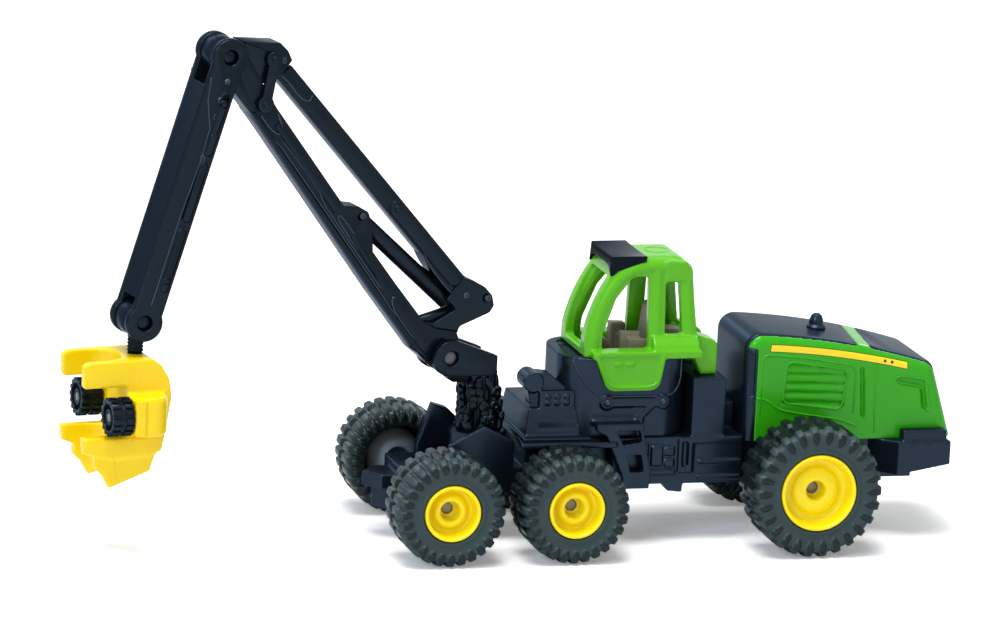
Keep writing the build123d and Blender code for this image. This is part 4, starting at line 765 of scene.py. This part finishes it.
foot = crane_slab(eased(BEAM_FOOT, 0.5), -BEAM_FLANK, BEAM_FLANK)
fitted("beam_foot", [foot], crane_plastic, "boom")

# Boom's lines: ridges along both edges, the lip of a slot, a cover's outline and hexagon bolt heads.
# They are raised black plastic of the boom's own moulding, painted paler on top as a painted highlight.
# Line: (closed, radius, flank, points)
BOOM_LINES = [
    (False, 0.15, BOOM_FLANK, [(31.6, 55.2), (30.7, 54.4), (24.4, 46.0), (15.7, 34.1), (13.2, 30.6)]),
    (False, 0.13, BOOM_FLANK, [(30.4, 55.1), (27.4, 51.4), (24.7, 47.8), (24.3, 46.5), (19.8, 40.3),
                               (15.6, 34.6)]),
    (False, 0.17, BOOM_FLANK, [(33.6, 58.6), (32.2, 56.6), (30.6, 55.7), (30.3, 56.4), (31.2, 58.8)]),
    (True, 0.13, BOOM_FLANK, [(21.8, 44.9), (22.3, 44.5), (20.2, 41.4), (18.4, 39.3), (17.9, 39.7),
                              (20.0, 42.5)]),
    (False, 0.15, BOOM_FLANK, [(13.4, 33.3), (13.9, 33.4), (14.0, 32.8), (13.6, 31.5), (12.2, 29.6),
                               (10.5, 27.4)]),
    (False, 0.13, BEAM_FLANK, [(9.5, 41.2), (9.9, 40.5), (9.6, 39.2), (8.6, 37.3), (6.6, 34.8), (4.6, 32.7)]),
    (False, 0.11, BEAM_FLANK, [(9.1, 40.9), (9.0, 39.6), (7.2, 36.6), (5.4, 34.3)]),
    (False, 0.13, 1.6, [(26.3, 60.9), (26.5, 60.2), (27.0, 60.0), (28.3, 60.8), (29.5, 62.5), (31.0, 63.8)]),
]
BOOM_BOLTS = [(18.57, 44.52), (3.28, 33.11), (0.1, 32.54), (30.6, 65.62)]
HEX_HEAD = [(-0.3, 0), (-0.3, 0.5), (0.12, 0.5), (0.2, 0.42), (0.2, 0.24), (0.05, 0.2), (0.05, 0)]
lines = []
for side in SIDES:
    for closed, radius, flank, points in BOOM_LINES:
        lines.append(crane_line(points, side * flank, radius, closed))
    for point in BOOM_BOLTS:
        lines.append(crane_bolt(point, side * BOOM_FLANK, HEX_HEAD))
fitted("boom_lines", lines, painted_highlight_lines, "boom")

# Stick's lines: a long groove's lip on both flanks, a pad, a small triangle and round bolt heads.
# They are raised black plastic of the stick's own moulding, painted paler as a painted highlight like the
# boom's.
# Line: (closed, radius, points)
STICK_LINES = [
    (False, 0.13, [(41.2, 64.1), (41.6, 61.2), (41.2, 57.3), (41.5, 56.4), (42.2, 53.5), (44.9, 46.0),
                   (48.5, 34.4)]),
    (False, 0.1, [(39.8, 60.5), (39.5, 59.0), (40.8, 57.4)]),
    (True, 0.1, [(40.2, 59.3), (40.8, 58.9), (40.5, 58.3)]),
    (True, 0.12, [(41.8, 54.0), (42.3, 53.9), (42.6, 51.6), (42.1, 51.7)]),
]
STICK_BOLTS = [(38.95, 63.42), (39.81, 61.05)]
lines = []
for side in SIDES:
    for closed, radius, points in STICK_LINES:
        lines.append(crane_line(points, side * STICK_FLANK, radius, closed, cut=0.2))
    for point in STICK_BOLTS:
        lines.append(crane_bolt(point, side * STICK_FLANK, BOLT_HEAD, 16))
fitted("stick_lines", lines, painted_highlight_lines, "stick")

# Pins of the crane: round pins with blunt ends, pushed into their bores. The foot pin is bright steel,
# the pins of the elbow and the tip are black like the crane.
pin_steel = moulded("pin_steel", (0.06, 0.07, 0.08, 1), (0.12, 0.13, 0.14, 1), 0.3)
softened("luff_pin", 0.3, pin_steel, steps=3)
for node in ("elbow_pin", "tip_pin"):
    softened(node, 0.3, crane_plastic, steps=3)

# Harvester head: one yellow plastic moulding with round edges, snapped on the stem. Its two feed
# rollers are ribbed black plastic and turn on pressed steel pins.
HEAD_DARK, HEAD_LIGHT = (0.8, 0.55, 0.001, 1), (0.86, 0.61, 0.003, 1)
head_plastic = moulded("head_plastic", HEAD_DARK, HEAD_LIGHT, 0.27, gloss=0.3)
# Cheek behind each roller: an upright oval column between the arms, its profile as (level, share) points.
# Claw: the lower arm's thick end. Patch: the smooth flank above the cheek.
CHEEK_AHEAD, CHEEK_ASIDE, CHEEK_LONG, CHEEK_WIDE = 49.2, 4.6, 2.65, 3.3
CHEEK = [(17.9, 0), (17.9, 0.93), (18.4, 1), (22.5, 1), (23.1, 0.93), (23.1, 0)]
CLAW = [(57.6, 15.6), (55.9, 15.1), (53.5, 14.4), (51.1, 14.6), (48.2, 14.7), (47.2, 15.5), (46.6, 17.3),
        (57.6, 17.3)]
PATCH = [(50.6, 24.4), (47.4, 24.4), (47.4, 26.6), (50.6, 26.6)]
extra = []
for side in SIDES:
    points, quads = lathe(CHEEK, (0, 0, 0), (0, 0, 1), 48)
    ahead, aside = CHEEK_AHEAD + CHEEK_LONG * points[:, 0], CHEEK_ASIDE + CHEEK_WIDE * points[:, 1]
    extra.append((crane(ahead, side * aside, points[:, 2]), quads))
    extra.append(crane_slab(CLAW, side * 4.2, side * 4.8))
    extra.append(crane_slab(PATCH, side * 4.0, side * 4.49))
melted("head_frame", 0.16, 8, head_plastic, extra=extra)
# Line: (closed, sideways, points)
HEAD_LINES = [(True, 4.7, [(50.95, 17.0), (48.8, 16.9), (48.5, 15.4), (50.9, 15.4)]),
              (False, 4.44, [(53.4, 14.3), (53.2, 11.6)])]
lines = []
for side in SIDES:
    for closed, sideways, points in HEAD_LINES:
        lines.append(crane_line(points, side * sideways, 0.13, closed, cut=0.3))
fitted("head_lines", lines, head_plastic, "head")
roller_plastic = moulded("roller_plastic", CRANE_DARK, CRANE_LIGHT, 0.25, 0.2, tint=LOW_ANGLE,
                         metal=DARK_SHEEN)
for node in ("feed_roller_near", "feed_roller_far"):
    softened(node, 0.05, roller_plastic)
softened("roller_pins", 0.12, pin_steel)
